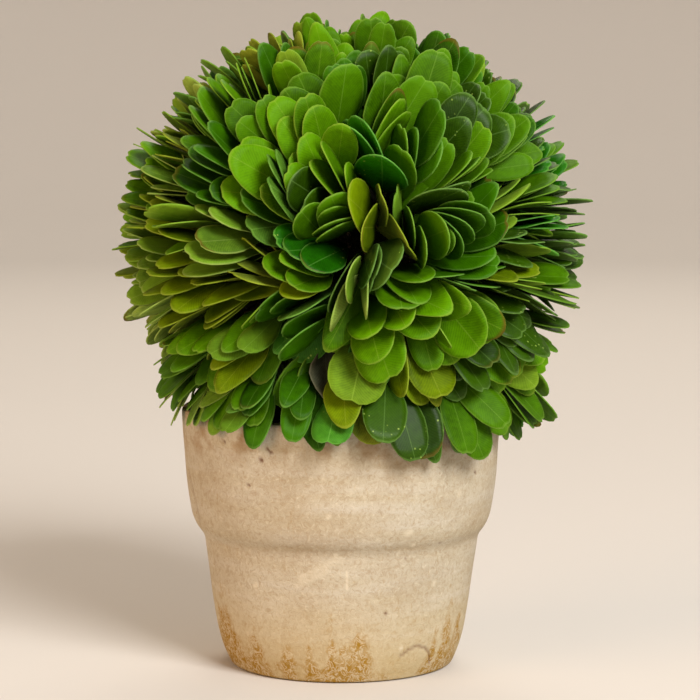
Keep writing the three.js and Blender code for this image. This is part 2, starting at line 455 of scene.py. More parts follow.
@dataclass(frozen=True)
class LeafTint:
    """One tint of preserved box leaf: steeped in glycerine and dye, which keeps it soft, opaque and satin."""

    name: str
    upper: str
    # The rib takes this paler colour, and the rim too, partly as a painted highlight.
    vein_and_rim_highlight: str
    under: str
    share: float
    roughness: float
    gloss: float = 0.08
    speckled: bool = False
    dried: str = "#54400f"
    speck: str = "#93ae4c"
    # The tint at its deepest and at its palest, as shares of its red, green and blue.
    deepest: tuple[float, float, float] = (0.52, 0.52, 0.5)
    palest: tuple[float, float, float] = (1.42, 1.34, 1.1)

    def face(self, part: str, colour: str, roughness: float, rib: float) -> bpy.types.Material:
        """Make the material of one face of the leaf.

        Args:
            part: Which face, for the name.
            colour: Its hex colour.
            roughness: Its roughness.
            rib: How much of the rib and rim colour the middle rib shows.

        Returns:
            The material.
        """
        material = bare_material(f"dyed_box_leaf_{self.name}_{part}")
        tree = material.node_tree
        place = add_node(tree, "TexCoord").outputs["Object"]
        blade = add_node(tree, "SeparateXYZ", {0: add_node(tree, "UVMap", uv_map="blade")})
        across, along = blade.outputs["X"], blade.outputs["Y"]
        dye = add_node(tree, "SeparateXYZ", {0: add_node(tree, "UVMap", uv_map="dye")}).outputs["X"]
        from_side = add_node(tree, "Math", {0: across, 1: 0.5}, operation="PINGPONG")
        from_tip = add_node(tree, "Math", {0: 1.0, 1: along}, operation="SUBTRACT")
        # Side veins run out from the rib about 1 mm apart, bent towards the tip, and show only faintly.
        bent = add_node(tree, "Math", {0: from_side, 1: 0.7, 2: along}, operation="MULTIPLY_ADD")
        turns = add_node(tree, "Math", {0: bent, 1: 140.0}, operation="MULTIPLY")
        veins = add_node(tree, "Math", {0: turns}, operation="SINE")
        skin = {"Vector": place, "Scale": per_metre(1.8), "Detail": 4.0, "Roughness": 0.65}
        grain = add_node(tree, "TexNoise", skin)
        # The dye takes unevenly: in clouds as wide as the leaf, along its veins, more in one leaf than in
        # the next, and in the skin's fine grain. Painted shade darkens a blade towards its stalk, under
        # the leaves over it.
        pale = add_node(tree, "TexNoise", {"Vector": place, "Scale": per_metre(9.0), "Detail": 3.0})
        for cause, weight in ((veins, 0.1), (dye, 0.8), (grain, 0.95), (along, 0.6)):
            pale = add_node(tree, "Math", {0: cause, 1: weight, 2: pale}, operation="MULTIPLY_ADD")
        pale = add_node(tree, "MapRange", {"Value": pale, "From Min": 1.28, "From Max": 2.28})
        ends = {6: self.toned(colour, self.deepest), 7: self.toned(colour, self.palest)}
        shade = add_node(tree, "Mix", {0: pale, **ends}, data_type="RGBA")
        # The rib dries paler than the blade. The rim is paler too: partly its own drier margin, partly a
        # painted highlight along the edge. The rim is drawn wider than in life, to show.
        edge = add_node(tree, "Math", {0: from_side, 1: from_tip}, operation="MINIMUM")
        rim = {"Value": edge, "From Min": 0.04, "From Max": 0.0, "To Max": 0.5}
        ridge = {"Value": from_side, "From Min": 0.482, "From Max": 0.496, "To Max": rib}
        # A leaf that took little dye is dry and brown at its tip.
        end = add_node(tree, "MapRange", {"Value": from_tip, "From Min": 0.07, "From Max": 0.01})
        thirsty = {"Value": dye, "From Min": 0.1, "From Max": 0.04, "To Max": 0.9}
        nick = add_node(tree, "Math", {0: end, 1: add_node(tree, "MapRange", thirsty)}, operation="MULTIPLY")
        coats: list[Coat] = [(add_node(tree, "MapRange", share), self.vein_and_rim_highlight) for share in (rim, ridge)]
        coats.append((nick, self.dried))
        if self.speckled:
            coats.append((self.specks(tree, place), self.speck))
        for share, coat in coats:
            shade = add_node(tree, "Mix", {0: share, 6: shade, 7: linear(coat)}, data_type="RGBA")
        height = add_node(tree, "Math", {0: veins, 1: 0.12, 2: grain}, operation="MULTIPLY_ADD")
        relief = add_node(tree, "Bump", {"Height": height, "Strength": 0.5, "Distance": 0.12 * MM})
        look = {"Base Color": shade, "Roughness": roughness, "IOR": 1.45, "Specular IOR Level": self.gloss}
        shader = add_node(tree, "BsdfPrincipled", {**look, "Normal": relief})
        add_node(tree, "OutputMaterial", {"Surface": shader})
        return material

    @staticmethod
    def toned(colour: str, shares: tuple[float, float, float]) -> tuple[float, float, float, float]:
        """Scale a hex colour's red, green and blue, as a shader takes them."""
        red, green, blue = (channel * share for channel, share in zip(linear(colour), shares))
        return red, green, blue, 1.0

    @staticmethod
    def specks(tree: bpy.types.NodeTree, place: bpy.types.NodeSocket) -> bpy.types.Node:
        """Scatter specks of dried glycerine about 0.4 mm wide, in clusters.

        Args:
            tree: The material's node tree.
            place: Where on the piece.

        Returns:
            The node that tells where they show.
        """
        cells = add_node(tree, "TexVoronoi", {"Vector": place, "Scale": per_metre(1.9)})
        dots = add_node(tree, "MapRange", {"Value": cells, "From Min": 0.2, "From Max": 0.12})
        patches = add_node(tree, "TexNoise", {"Vector": place, "Scale": per_metre(8.0)})
        within = {"Value": patches, "From Min": 0.54, "From Max": 0.6, "To Max": 0.6}
        return add_node(tree, "Math", {0: dots, 1: add_node(tree, "MapRange", within)}, operation="MULTIPLY")

    def edge(self) -> bpy.types.Material:
        """Make the cut edge's material: partly the leaf's paler inside, partly a painted highlight."""
        material = bare_material(f"cut_leaf_edge_{self.name}")
        tree = material.node_tree
        place = add_node(tree, "TexCoord").outputs["Object"]
        flesh_and_highlight = add_node(tree, "TexNoise", {"Vector": place, "Scale": per_metre(3.0)})
        colours = {0: flesh_and_highlight, 6: linear(self.upper), 7: linear(self.vein_and_rim_highlight)}
        shade = add_node(tree, "Mix", colours, data_type="RGBA")
        look = {"Base Color": shade, "Roughness": 0.6, "IOR": 1.45, "Specular IOR Level": 0.1}
        add_node(tree, "OutputMaterial", {"Surface": add_node(tree, "BsdfPrincipled", look)})
        return material

    def materials(self) -> list[bpy.types.Material]:
        """Make the upper, under and edge materials, in the order of the leaf's own slots."""
        return [
            self.face("upper", self.upper, self.roughness, 0.24),
            self.face("under", self.under, self.roughness + 0.15, 0.4),
            self.edge(),
        ]


class Dye(Enum):
    """The tints, palest first and deepest last, as they are dealt out. The last two have their own places."""

    PALE = LeafTint("pale_green", "#5c8020", "#98ac58", "#76903c", 0.035, 0.6)
    OLIVE = LeafTint("olive", "#546c00", "#8e9e30", "#667822", 0.16, 0.58)
    GRASS = LeafTint("grass_green", "#467400", "#82a034", "#587818", 0.24, 0.54)
    MID = LeafTint("mid_green", "#3a6400", "#749a38", "#4c7018", 0.21, 0.52)
    LEAF = LeafTint("leaf_green", "#2a5600", "#6c9840", "#40661c", 0.15, 0.46)
    EMERALD = LeafTint("emerald", "#1a5800", "#6ca446", "#38701a", 0.08, 0.44, 0.12, True)
    DEEP = LeafTint("deep_green", "#264400", "#6c9244", "#385412", 0.125, 0.44, 0.14, True)
    BRONZE = LeafTint("bronze", "#484208", "#807a2a", "#504c12", 0.0, 0.6)
    DEAD = LeafTint("dead_grey", "#474a3c", "#70735f", "#3a3c30", 0.0, 0.8, 0.05)


@dataclass(frozen=True)
class WhitewashedClay:
    """Low-fired clay, thrown and brushed with thin lime wash: dead matt, chalky, and brown where worn."""

    wash: str = "#b0a48c"
    chalk: str = "#b9b09e"
    clay: str = "#8a6f49"
    # The brown of the painted shade on the neck, and of the patches below the rim.
    neck_shade_and_patch_brown: str = "#8a683c"
    yellowed: str = "#b49a5c"
    stain: str = "#906a0c"
    crust: str = "#cdc2aa"
    pit: str = "#5a3018"
    yellow_height: float = 30.0
    neck_height: float = 41.8
    # Between these heights, in millimetres, the patches below the rim come in.
    patches_from: float = 67.0
    patches_full: float = 77.0

    def material(self) -> bpy.types.Material:
        """Make the material."""
        material = bare_material("whitewashed_clay")
        tree = material.node_tree
        place = add_node(tree, "TexCoord").outputs["Object"]
        height = add_node(tree, "SeparateXYZ", {0: place}).outputs["Z"]
        # The brush leaves streaks round the pot, about 4 mm high and 40 mm long.
        round_pot = add_node(tree, "Mapping", {"Vector": place, "Scale": (0.35, 0.35, 3.2)})
        brushed = {"Vector": round_pot, "Scale": per_metre(14.0), "Detail": 5.0, "Distortion": 0.4}
        streaks = add_node(tree, "TexNoise", brushed)
        streak = add_node(tree, "MapRange", {"Value": streaks, "From Min": 0.35, "From Max": 0.7})
        colours = {0: streak, 6: linear(self.wash), 7: linear(self.chalk)}
        shade = add_node(tree, "Mix", colours, data_type="RGBA")
        # The dried brush hairs and the clay's grit, 0.3 mm in life, are drawn 1 mm wide to show, and curled.
        curled = {"Vector": place, "Scale": per_metre(1.5), "Detail": 4.0, "Roughness": 0.75}
        grit = add_node(tree, "TexNoise", {**curled, "Distortion": 1.0})
        coats = self.thin_wash(tree, place, grit) + self.neck_shade_and_patches(tree, place, height)
        coats += self.damp(tree, place, height) + self.marks(tree)
        for share, colour in coats:
            shade = add_node(tree, "Mix", {0: share, 6: shade, 7: linear(colour)}, data_type="RGBA")
        uneven = add_node(tree, "Math", {0: streaks, 1: 0.6, 2: grit}, operation="MULTIPLY_ADD")
        relief = add_node(tree, "Bump", {"Height": uneven, "Strength": 0.6, "Distance": 0.4 * MM})
        look = {"Base Color": shade, "Roughness": 0.93, "IOR": 1.5, "Specular IOR Level": 0.2}
        shader = add_node(tree, "BsdfPrincipled", {**look, "Normal": relief})
        add_node(tree, "OutputMaterial", {"Surface": shader})
        return material

    def thin_wash(
        self, tree: bpy.types.NodeTree, place: bpy.types.NodeSocket, grit: bpy.types.Node
    ) -> list[Coat]:
        """Let the clay show in clouds and dark specks where the wash lies thinner, and fleck it with lime.

        Args:
            tree: The material's node tree.
            place: Where on the piece.
            grit: The grit's pattern.

        Returns:
            The coats.
        """
        clouds = add_node(tree, "TexNoise", {"Vector": place, "Scale": per_metre(20.0), "Detail": 4.0})
        thin = {"Value": clouds, "From Min": 0.62, "From Max": 0.3, "To Max": 0.26}
        specks = {"Value": grit, "From Min": 0.51, "From Max": 0.34, "To Max": 0.42}
        flecks = {"Value": grit, "From Min": 0.56, "From Max": 0.72, "To Max": 0.6}
        shares = [add_node(tree, "MapRange", share) for share in (thin, specks, flecks)]
        return list(zip(shares, (self.clay, self.clay, self.crust)))

    def neck_shade_and_patches(
        self, tree: bpy.types.NodeTree, place: bpy.types.NodeSocket, height: bpy.types.NodeSocket
    ) -> list[Coat]:
        """Paint shade a little on the neck under the collar, and darken the wash in brown patches below the
        rim.

        Args:
            tree: The material's node tree.
            place: Where on the piece.
            height: How high on the piece.

        Returns:
            The coats.
        """
        # Painted shade: the neck under the collar's overhang is darkened a little.
        off_neck = add_node(tree, "Math", {0: height, 1: self.neck_height * MM}, operation="SUBTRACT")
        away = add_node(tree, "Math", {0: off_neck}, operation="ABSOLUTE")
        painted_neck_shade = {"Value": away, "From Min": 2.2 * MM, "From Max": 0.1 * MM, "To Max": 0.04}
        painted_neck_shade = add_node(tree, "MapRange", painted_neck_shade, interpolation_type="SMOOTHSTEP")
        # Below the rim the wash is darker brown in patches.
        patches = add_node(tree, "TexNoise", {"Vector": place, "Scale": per_metre(9.0), "Detail": 5.0})
        patch = {"Value": patches, "From Min": 0.5, "From Max": 0.62, "To Max": 0.7}
        high = {"Value": height, "From Min": self.patches_from * MM, "From Max": self.patches_full * MM}
        both = {index: add_node(tree, "MapRange", share) for index, share in enumerate((patch, high))}
        patches_below_rim = add_node(tree, "Math", both, operation="MULTIPLY")
        return [(painted_neck_shade, self.neck_shade_and_patch_brown), (patches_below_rim, self.neck_shade_and_patch_brown)]

    def damp(
        self, tree: bpy.types.NodeTree, place: bpy.types.NodeSocket, height: bpy.types.NodeSocket
    ) -> list[Coat]:
        """Yellow the wash low down, and stain it where damp has climbed, as the piece's own mark tells.

        Args:
            tree: The material's node tree.
            place: Where on the piece.
            height: How high on the piece.

        Returns:
            The coats.
        """
        low = {"Value": height, "From Min": self.yellow_height * MM, "From Max": 2 * MM, "To Max": 0.5}
        yellow = add_node(tree, "MapRange", low)
        # The stain breaks up into grains about 1.5 mm wide.
        damp = add_node(tree, "Attribute", attribute_name="damp", attribute_type="GEOMETRY").outputs["Fac"]
        tall = add_node(tree, "Mapping", {"Vector": place, "Scale": (1.0, 1.0, 0.5)})
        coarse = {"Vector": tall, "Scale": per_metre(2.0), "Detail": 5.0, "Roughness": 0.75}
        fine = add_node(tree, "TexNoise", {**coarse, "Distortion": 0.9})
        grains = add_node(tree, "Math", {0: fine, 1: 2.6, 2: damp}, operation="MULTIPLY_ADD")
        soaked = {"Value": grains, "From Min": 1.5, "From Max": 2.45, "To Max": 0.95}
        stain = add_node(tree, "MapRange", soaked)
        # Salt crusts over it in a crackle of white lines about 0.5 mm wide.
        salt = {"Vector": place, "Scale": per_metre(2.4), "Detail": 4.0, "Roughness": 0.6, "Distortion": 0.9}
        lines = add_node(tree, "Math", {0: add_node(tree, "TexNoise", salt), 1: 0.5}, operation="PINGPONG")
        crackle = {"Value": lines, "From Min": 0.45, "From Max": 0.495, "To Max": 0.6}
        crust = {0: add_node(tree, "MapRange", crackle), 1: damp}
        crust = add_node(tree, "Math", crust, operation="MULTIPLY")
        return [(yellow, self.yellowed), (stain, self.stain), (crust, self.crust)]

    def marks(self, tree: bpy.types.NodeTree) -> list[Coat]:
        """Colour burst grit, the crack and scratches, which are marked on the piece itself."""
        return [
            (add_node(tree, "Attribute", attribute_name=mark, attribute_type="GEOMETRY").outputs["Fac"], coat)
            for mark, coat in (("wear", self.pit), ("scratch", self.crust))
        ]


@dataclass(frozen=True)
class DryMoss:
    """Sheet moss dried dark: a dull fibrous mat. Its near black is partly its own colour and partly painted
    shade for the gaps between the leaves, and it is darker still between its tufts, as painted shade.
    """

    tuft: str = "#15170a"
    shade: str = "#080703"

    def material(self) -> bpy.types.Material:
        """Make the material."""
        material = bare_material("dried_sheet_moss")
        tree = material.node_tree
        place = add_node(tree, "TexCoord").outputs["Object"]
        # Painted shade: the hollows between the tufts take the darker colour.
        tufts = add_node(tree, "TexNoise", {"Vector": place, "Scale": per_metre(2.2), "Detail": 5.0})
        high = add_node(tree, "MapRange", {"Value": tufts, "From Min": 0.4, "From Max": 0.7})
        colours = {0: high, 6: linear(self.shade), 7: linear(self.tuft)}
        shade = add_node(tree, "Mix", colours, data_type="RGBA")
        relief = add_node(tree, "Bump", {"Height": tufts, "Distance": 1.0 * MM})
        look = {"Base Color": shade, "Roughness": 0.95, "IOR": 1.45, "Specular IOR Level": 0.1}
        shader = add_node(tree, "BsdfPrincipled", {**look, "Normal": relief})
        add_node(tree, "OutputMaterial", {"Surface": shader})
        return material


@dataclass(frozen=True)
class TwigBark:
    """Bark of young box wood, left as it grew: grey-brown, dull, lined along the twig."""

    bark: str = "#4c3d26"
    lines: str = "#20170d"

    def material(self) -> bpy.types.Material:
        """Make the material."""
        material = bare_material("box_twig_bark")
        tree = material.node_tree
        place = add_node(tree, "TexCoord").outputs["Object"]
        tall = add_node(tree, "Mapping", {"Vector": place, "Scale": (1.0, 1.0, 0.2)})
        ridges = add_node(tree, "TexNoise", {"Vector": tall, "Scale": per_metre(1.2), "Detail": 4.0})
        high = add_node(tree, "MapRange", {"Value": ridges, "From Min": 0.35, "From Max": 0.65})
        colours = {0: high, 6: linear(self.lines), 7: linear(self.bark)}
        shade = add_node(tree, "Mix", colours, data_type="RGBA")
        relief = add_node(tree, "Bump", {"Height": ridges, "Distance": 0.3 * MM})
        look = {"Base Color": shade, "Roughness": 0.8, "IOR": 1.45, "Normal": relief}
        add_node(tree, "OutputMaterial", {"Surface": add_node(tree, "BsdfPrincipled", look)})
        return material


@dataclass(frozen=True)
class PalePaper:
    """Background paper, matt and even, so that nothing on it draws the eye."""

    sheet: str = "#d0cac2"

    def material(self) -> bpy.types.Material:
        """Make the material."""
        material = bare_material("background_paper")
        look = {"Base Color": linear(self.sheet), "Roughness": 0.95, "Specular IOR Level": 0.1}
        shader = add_node(material.node_tree, "BsdfPrincipled", look)
        add_node(material.node_tree, "OutputMaterial", {"Surface": shader})
        return material


# ---- The pot ----


@dataclass(frozen=True)
class Line:
    """A line on the pot's wall, through points as turn in degrees and height. Lengths are in millimetres."""

    points: tuple[tuple[float, float], ...]
    width: float
    depth: float
    wear: float = 0.0
    scratch: float = 0.0


@dataclass
class Pot:
    """The whitewashed pot: a rounded foot, a nearly straight body and a tall collar over a soft neck."""

    # Radius, height and rounding of each corner of the outside, then of the inside, in millimetres.
    outside: tuple[tuple[float, float, float], ...] = (
        (33.4, 0.0, 0.0),
        (34.9, 0.5, 0.4),
        (36.7, 4.2, 2.4),
        (38.6, 10.0, 4.0),
        (40.2, 19.5, 5.0),
        (43.0, 41.2, 1.9),
        (45.4, 44.2, 1.2),
        (46.8, 47.2, 2.0),
        (48.5, 57.0, 5.0),
        (49.8, 79.0, 1.0),
        (49.7, 81.0, 1.1),
    )
    inside: tuple[tuple[float, float, float], ...] = (
        (44.9, 81.0, 0.0),
        (44.8, 80.0, 0.4),
        (44.7, 76.0, 1.5),
        (41.8, 49.0, 3.0),
        (34.8, 18.0, 5.0),
        (29.0, 7.2, 3.0),
        (12.0, 7.0, 0.0),
    )
    segments: int = 440
    outside_spacing: float = 0.9
    inside_spacing: float = 6.0
    rim_height: float = 81.0
    # Burst grit as turn in degrees from the show side, height and size in millimetres.
    pits: tuple[tuple[float, float, float], ...] = (
        *((-45.3, 74.5, 0.6), (-25.2, 72.6, 1.0), (-26.4, 73.4, 0.7), (-29.1, 70.0, 1.2), (-34.7, 62.0, 0.6)),
        *((57.0, 64.0, 0.8), (42.1, 43.2, 0.5), (27.0, 39.0, 0.5), (19.6, 22.4, 0.8), (-38.0, 38.0, 0.4)),
        *((120.0, 66.0, 1.1), (124.0, 63.5, 0.8), (168.0, 30.0, 1.0)),
        *((-150.0, 58.0, 1.2), (-110.0, 36.0, 0.8)),
    )
    lines: tuple[Line, ...] = (
        # The thin crack at the foot and the crease on the collar.
        Line(
            ((28.5, 8.2), (33.0, 10.2), (37.5, 10.8), (42.0, 9.8), (45.6, 7.8), (48.0, 4.2)),
            0.75,
            0.25,
            wear=0.5,
        ),
        Line(((-76.0, 61.0), (-72.0, 55.0), (-70.0, 49.0), (-72.0, 46.0)), 1.8, 0.5, wear=0.2),
        # Strokes of the brush, scratches in the wash, and drops of it.
        Line(((2.4, 35.9), (2.6, 30.4)), 0.6, 0.0, scratch=0.7),
        Line(((-17.0, 33.6), (-0.5, 40.2)), 1.5, 0.0, scratch=0.35),
        Line(((-19.0, 31.0), (-6.0, 36.0)), 1.2, 0.0, scratch=0.3),
        Line(((25.4, 47.5), (26.4, 48.0)), 1.5, -0.1, scratch=0.6),
        Line(((28.6, 43.4), (29.0, 43.6)), 0.9, -0.1, scratch=0.7),
        Line(((-2.4, 41.0), (-2.0, 41.2)), 0.9, -0.1, scratch=0.7),
        Line(((-4.6, 53.4), (-4.2, 53.7)), 1.0, -0.1, scratch=0.6),
        Line(((-39.0, 29.6), (-38.2, 30.0)), 1.1, -0.1, scratch=0.7),
        Line(((42.6, 29.8), (43.2, 30.6)), 1.1, -0.1, scratch=0.6),
        Line(((47.0, 58.0), (47.6, 58.6)), 1.2, -0.1, scratch=0.5),
        Line(((28.0, 10.6), (28.6, 11.0)), 0.9, -0.1, scratch=0.7),
        Line(((150.0, 48.0), (153.0, 58.0)), 0.8, 0.1, scratch=0.6),
        Line(((-130.0, 20.0), (-124.0, 27.0)), 0.7, 0.0, scratch=0.6),
    )
    # Tongues of damp as turn in degrees, height in millimetres and half width in degrees.
    tongues: tuple[tuple[float, float, float], ...] = (
        *((-68.0, 24.0, 17.0), (-45.0, 14.0, 10.0), (-26.0, 9.5, 5.0), (-14.0, 13.0, 4.0), (-4.5, 18.5, 3.5)),
        *((8.0, 17.0, 6.5), (2.0, 10.0, 14.0), (48.0, 15.0, 4.0), (57.0, 22.0, 6.0), (67.0, 17.0, 8.0)),
        *((100.0, 14.0, 12.0), (128.0, 20.0, 7.0), (150.0, 10.0, 12.0), (176.0, 18.0, 9.0)),
        *((-160.0, 12.0, 10.0), (-135.0, 21.0, 8.0), (-110.0, 13.0, 10.0), (-90.0, 17.0, 8.0)),
    )
    damp_fade: float = 13.0
    damp_rise: float = 5.0
    corner_steps: int = 6
    # Only the outside is worn: what is within this of its profile, and higher than the foot's edge.
    skin: float = 1.5
    foot_edge: float = 1.0
    # How strong and how wide the layers are by which the wall waves, and the damp's edge frays.
    wall_waves: tuple[tuple[float, float], ...] = ((0.32, 34.0), (0.1, 9.0))
    damp_waves: tuple[tuple[float, float], ...] = ((7.0, 6.0), (4.0, 2.6))
    # A pit's flat middle and its depth as shares of its size, and its wear. Then a line's flat middle.
    pit_middle: float = 0.35
    pit_depth: float = 0.45
    pit_wear: float = 0.85
    line_middle: float = 0.2

    def radius_at(self, height: np.ndarray) -> np.ndarray:
        """Give the outer radius in metres at heights in metres."""
        radii, heights, _ = np.array(self.outside).T * MM
        return np.interp(height, heights, radii)

    def build(self) -> None:
        """Turn the pot, give it its handmade wear, and dress it."""
        profile = rounded(list(self.outside), self.corner_steps, self.outside_spacing, self.inside[0])
        profile += rounded(list(self.inside), self.corner_steps, self.inside_spacing)
        piece = turned("pot_body", profile, self.segments)
        corners = corners_of(piece.data)
        wear, scratch = np.zeros(len(corners)), np.zeros(len(corners))
        radius = np.hypot(corners[:, 0], corners[:, 1])
        turn = np.degrees(np.arctan2(corners[:, 0], -corners[:, 1]))
        near_skin = radius > self.radius_at(corners[:, 2]) - self.skin * MM
        outer = near_skin & (corners[:, 2] > self.foot_edge * MM)
        depth, climb = np.zeros(len(corners)), np.zeros(len(corners))
        depth[outer] = ripples(corners[outer], self.wall_waves)
        climb[outer] = ripples(corners[outer], self.damp_waves)
        for pit_turn, height, size in self.pits:
            away = np.hypot(self.arc(turn - pit_turn, radius), corners[:, 2] / MM - height)
            dent = np.where(outer, 1 - ease(self.pit_middle * size, size, away), 0)
            depth -= self.pit_depth * size * dent
            wear = np.maximum(wear, self.pit_wear * dent)
        for line in self.lines:
            away = self.away_from(line.points, turn, radius, corners[:, 2] / MM)
            dent = np.where(outer, 1 - ease(self.line_middle * line.width, line.width, away), 0)
            depth -= line.depth * dent
            wear = np.maximum(wear, line.wear * dent)
            scratch = np.maximum(scratch, line.scratch * dent)
        flat = corners[:, :2] / np.maximum(radius, 1e-6)[:, None]
        corners[:, :2] += flat * (depth * MM)[:, None]
        set_corners(piece.data, corners)
        tongue = np.zeros(len(corners))
        for tongue_turn, height, half_width in self.tongues:
            off = ((turn - tongue_turn + 180) % 360 - 180) / half_width
            tongue = np.maximum(tongue, height * np.exp(-(off**2)))
        damp = ease(0.0, self.damp_fade, tongue + climb + self.damp_rise - corners[:, 2] / MM)
        for name, values in (("wear", wear), ("scratch", scratch), ("damp", damp)):
            layer = piece.data.attributes.new(name, "FLOAT", "POINT")
            layer.data.foreach_set("value", values.astype(np.float32))
        piece.data.materials.append(WhitewashedClay().material())
        finish_piece(piece, Node.POT)

    @staticmethod
    def arc(degrees: np.ndarray, radius: np.ndarray) -> np.ndarray:
        """Turn an angle into a length round the pot, in millimetres."""
        return np.radians((degrees + 180) % 360 - 180) * radius / MM

    def away_from(
        self, path: tuple[tuple[float, float], ...], turn: np.ndarray, radius: np.ndarray, height: np.ndarray
    ) -> np.ndarray:
        """Measure how far corners are from a line drawn on the wall.

        Args:
            path: Turn in degrees and height in millimetres of the line's points.
            turn: The corners' turns in degrees.
            radius: Their radii in metres.
            height: Their heights in millimetres.

        Returns:
            The distances in millimetres.
        """
        best = np.full(len(turn), 1e3)
        for (turn_a, height_a), (turn_b, height_b) in zip(path, path[1:]):
            run = self.arc(np.full(len(turn), turn_b - turn_a), radius)
            rise = height_b - height_a
            across, over = self.arc(turn - turn_a, radius), height - height_a
            share = np.clip((across * run + over * rise) / (run**2 + rise**2), 0, 1)
            best = np.minimum(best, np.hypot(across - share * run, over - share * rise))
        return best


@dataclass
class PotFill:
    """The dry foam block under its moss: a low mound with tufts, and a flat seat for the stem."""

    edge_radius: float = 44.0
    edge_height: float = 74.6
    seat_height: float = 85.0
    seat_radius: float = 12.0
    foot_radius: float = 28.0
    foot_height: float = 7.3
    # Radius, height and rounding of the corners where it lies against the pot's wall.
    wall: tuple[tuple[float, float, float], ...] = ((33.6, 18.0, 2.0), (40.6, 49.0, 2.0))
    # How strong and how wide its tufts are, and how far they lie under the plain mound.
    tufts: tuple[tuple[float, float], ...] = ((0.9, 5.0), (0.5, 1.9))
    sunk: float = 0.4
    corner_steps: int = 4
    spacing: float = 1.2
    segments: int = 160

    def build(self) -> None:
        """Turn the fill, roughen its top and dress it."""
        corners = [
            (self.foot_radius, self.foot_height, 0.0),
            *self.wall,
            (self.edge_radius - 0.3, self.edge_height - 0.8, 1.2),
            (self.seat_radius, self.seat_height, 0.0),
            (2.0, self.seat_height, 0.0),
        ]
        piece = turned("moss_mound", rounded(corners, self.corner_steps, self.spacing), self.segments)
        places = corners_of(piece.data)
        radius = np.hypot(places[:, 0], places[:, 1])
        ends = [self.seat_radius * MM, self.edge_radius * MM]
        line = np.interp(radius, ends, [self.seat_height, self.edge_height])
        # Only the mound's slope is tufted. The seat stays flat, and a millimetre round it too.
        top = (places[:, 2] / MM > line - 1.0) & (radius > (self.seat_radius + 1) * MM)
        places[top, 2] += (ripples(places[top], self.tufts) - self.sunk) * MM
        set_corners(piece.data, places)
        piece.data.materials.append(DryMoss().material())
        finish_piece(piece, Node.FILL)


@dataclass
class Stem:
    """The short stem between the fill and the core, with the twisted ridges of old box wood."""

    foot: tuple[float, float] = (7.2, 85.3)
    flare: tuple[float, float] = (5.0, 90.5)
    tip: tuple[float, float] = (4.0, 107.8)
    ridges: int = 7
    twist: float = 2.4
    # Half as deep as the ridges run finer ones, which twist the other way.
    finer_ridges: int = 11
    finer_twist: float = 3.0
    ridge_depth: float = 0.035
    corner_steps: int = 4
    spacing: float = 0.7
    segments: int = 84

    def build(self) -> None:
        """Turn the stem, cut its ridges and dress it."""
        corners = [
            (self.foot[0], self.foot[1], 0.0),
            (self.foot[0] - 0.3, self.foot[1] + 0.6, 0.3),
            (self.flare[0], self.flare[1], 2.0),
            (self.tip[0], self.tip[1] - 0.6, 0.4),
            (self.tip[0] - 0.8, self.tip[1], 0.0),
        ]
        piece = turned("stem_bark", rounded(corners, self.corner_steps, self.spacing), self.segments)
        places = corners_of(piece.data)
        height = (places[:, 2] / MM - self.foot[1]) / (self.tip[1] - self.foot[1])
        turn = np.arctan2(places[:, 1], places[:, 0])
        wave = np.cos(turn * self.ridges + self.twist * height)
        wave = wave + 0.5 * np.cos(turn * self.finer_ridges - self.finer_twist * height)
        places[:, :2] *= (1 - self.ridge_depth * (1.5 - wave))[:, None]
        set_corners(piece.data, places)
        piece.data.materials.append(TwigBark().material())
        finish_piece(piece, Node.STEM)


# ---- The rule that the ball grows by ----


@dataclass(frozen=True)
class LeafPlace:
    """Where a leaf leaves its twig, in millimetres from the ball's centre, and its lean and sway."""

    start: float
    lean: float
    sway: float


@dataclass(frozen=True)
class Sprig:
    """A sprig: the way its twig points, the way its leaves point before they fan, and the way they face.

    How far it stands beside its whorl goes from 0 in the middle to 1.
    """

    number: int
    kind: SprigKind
    out: Vector
    along: Vector
    facing: Vector
    beside: float


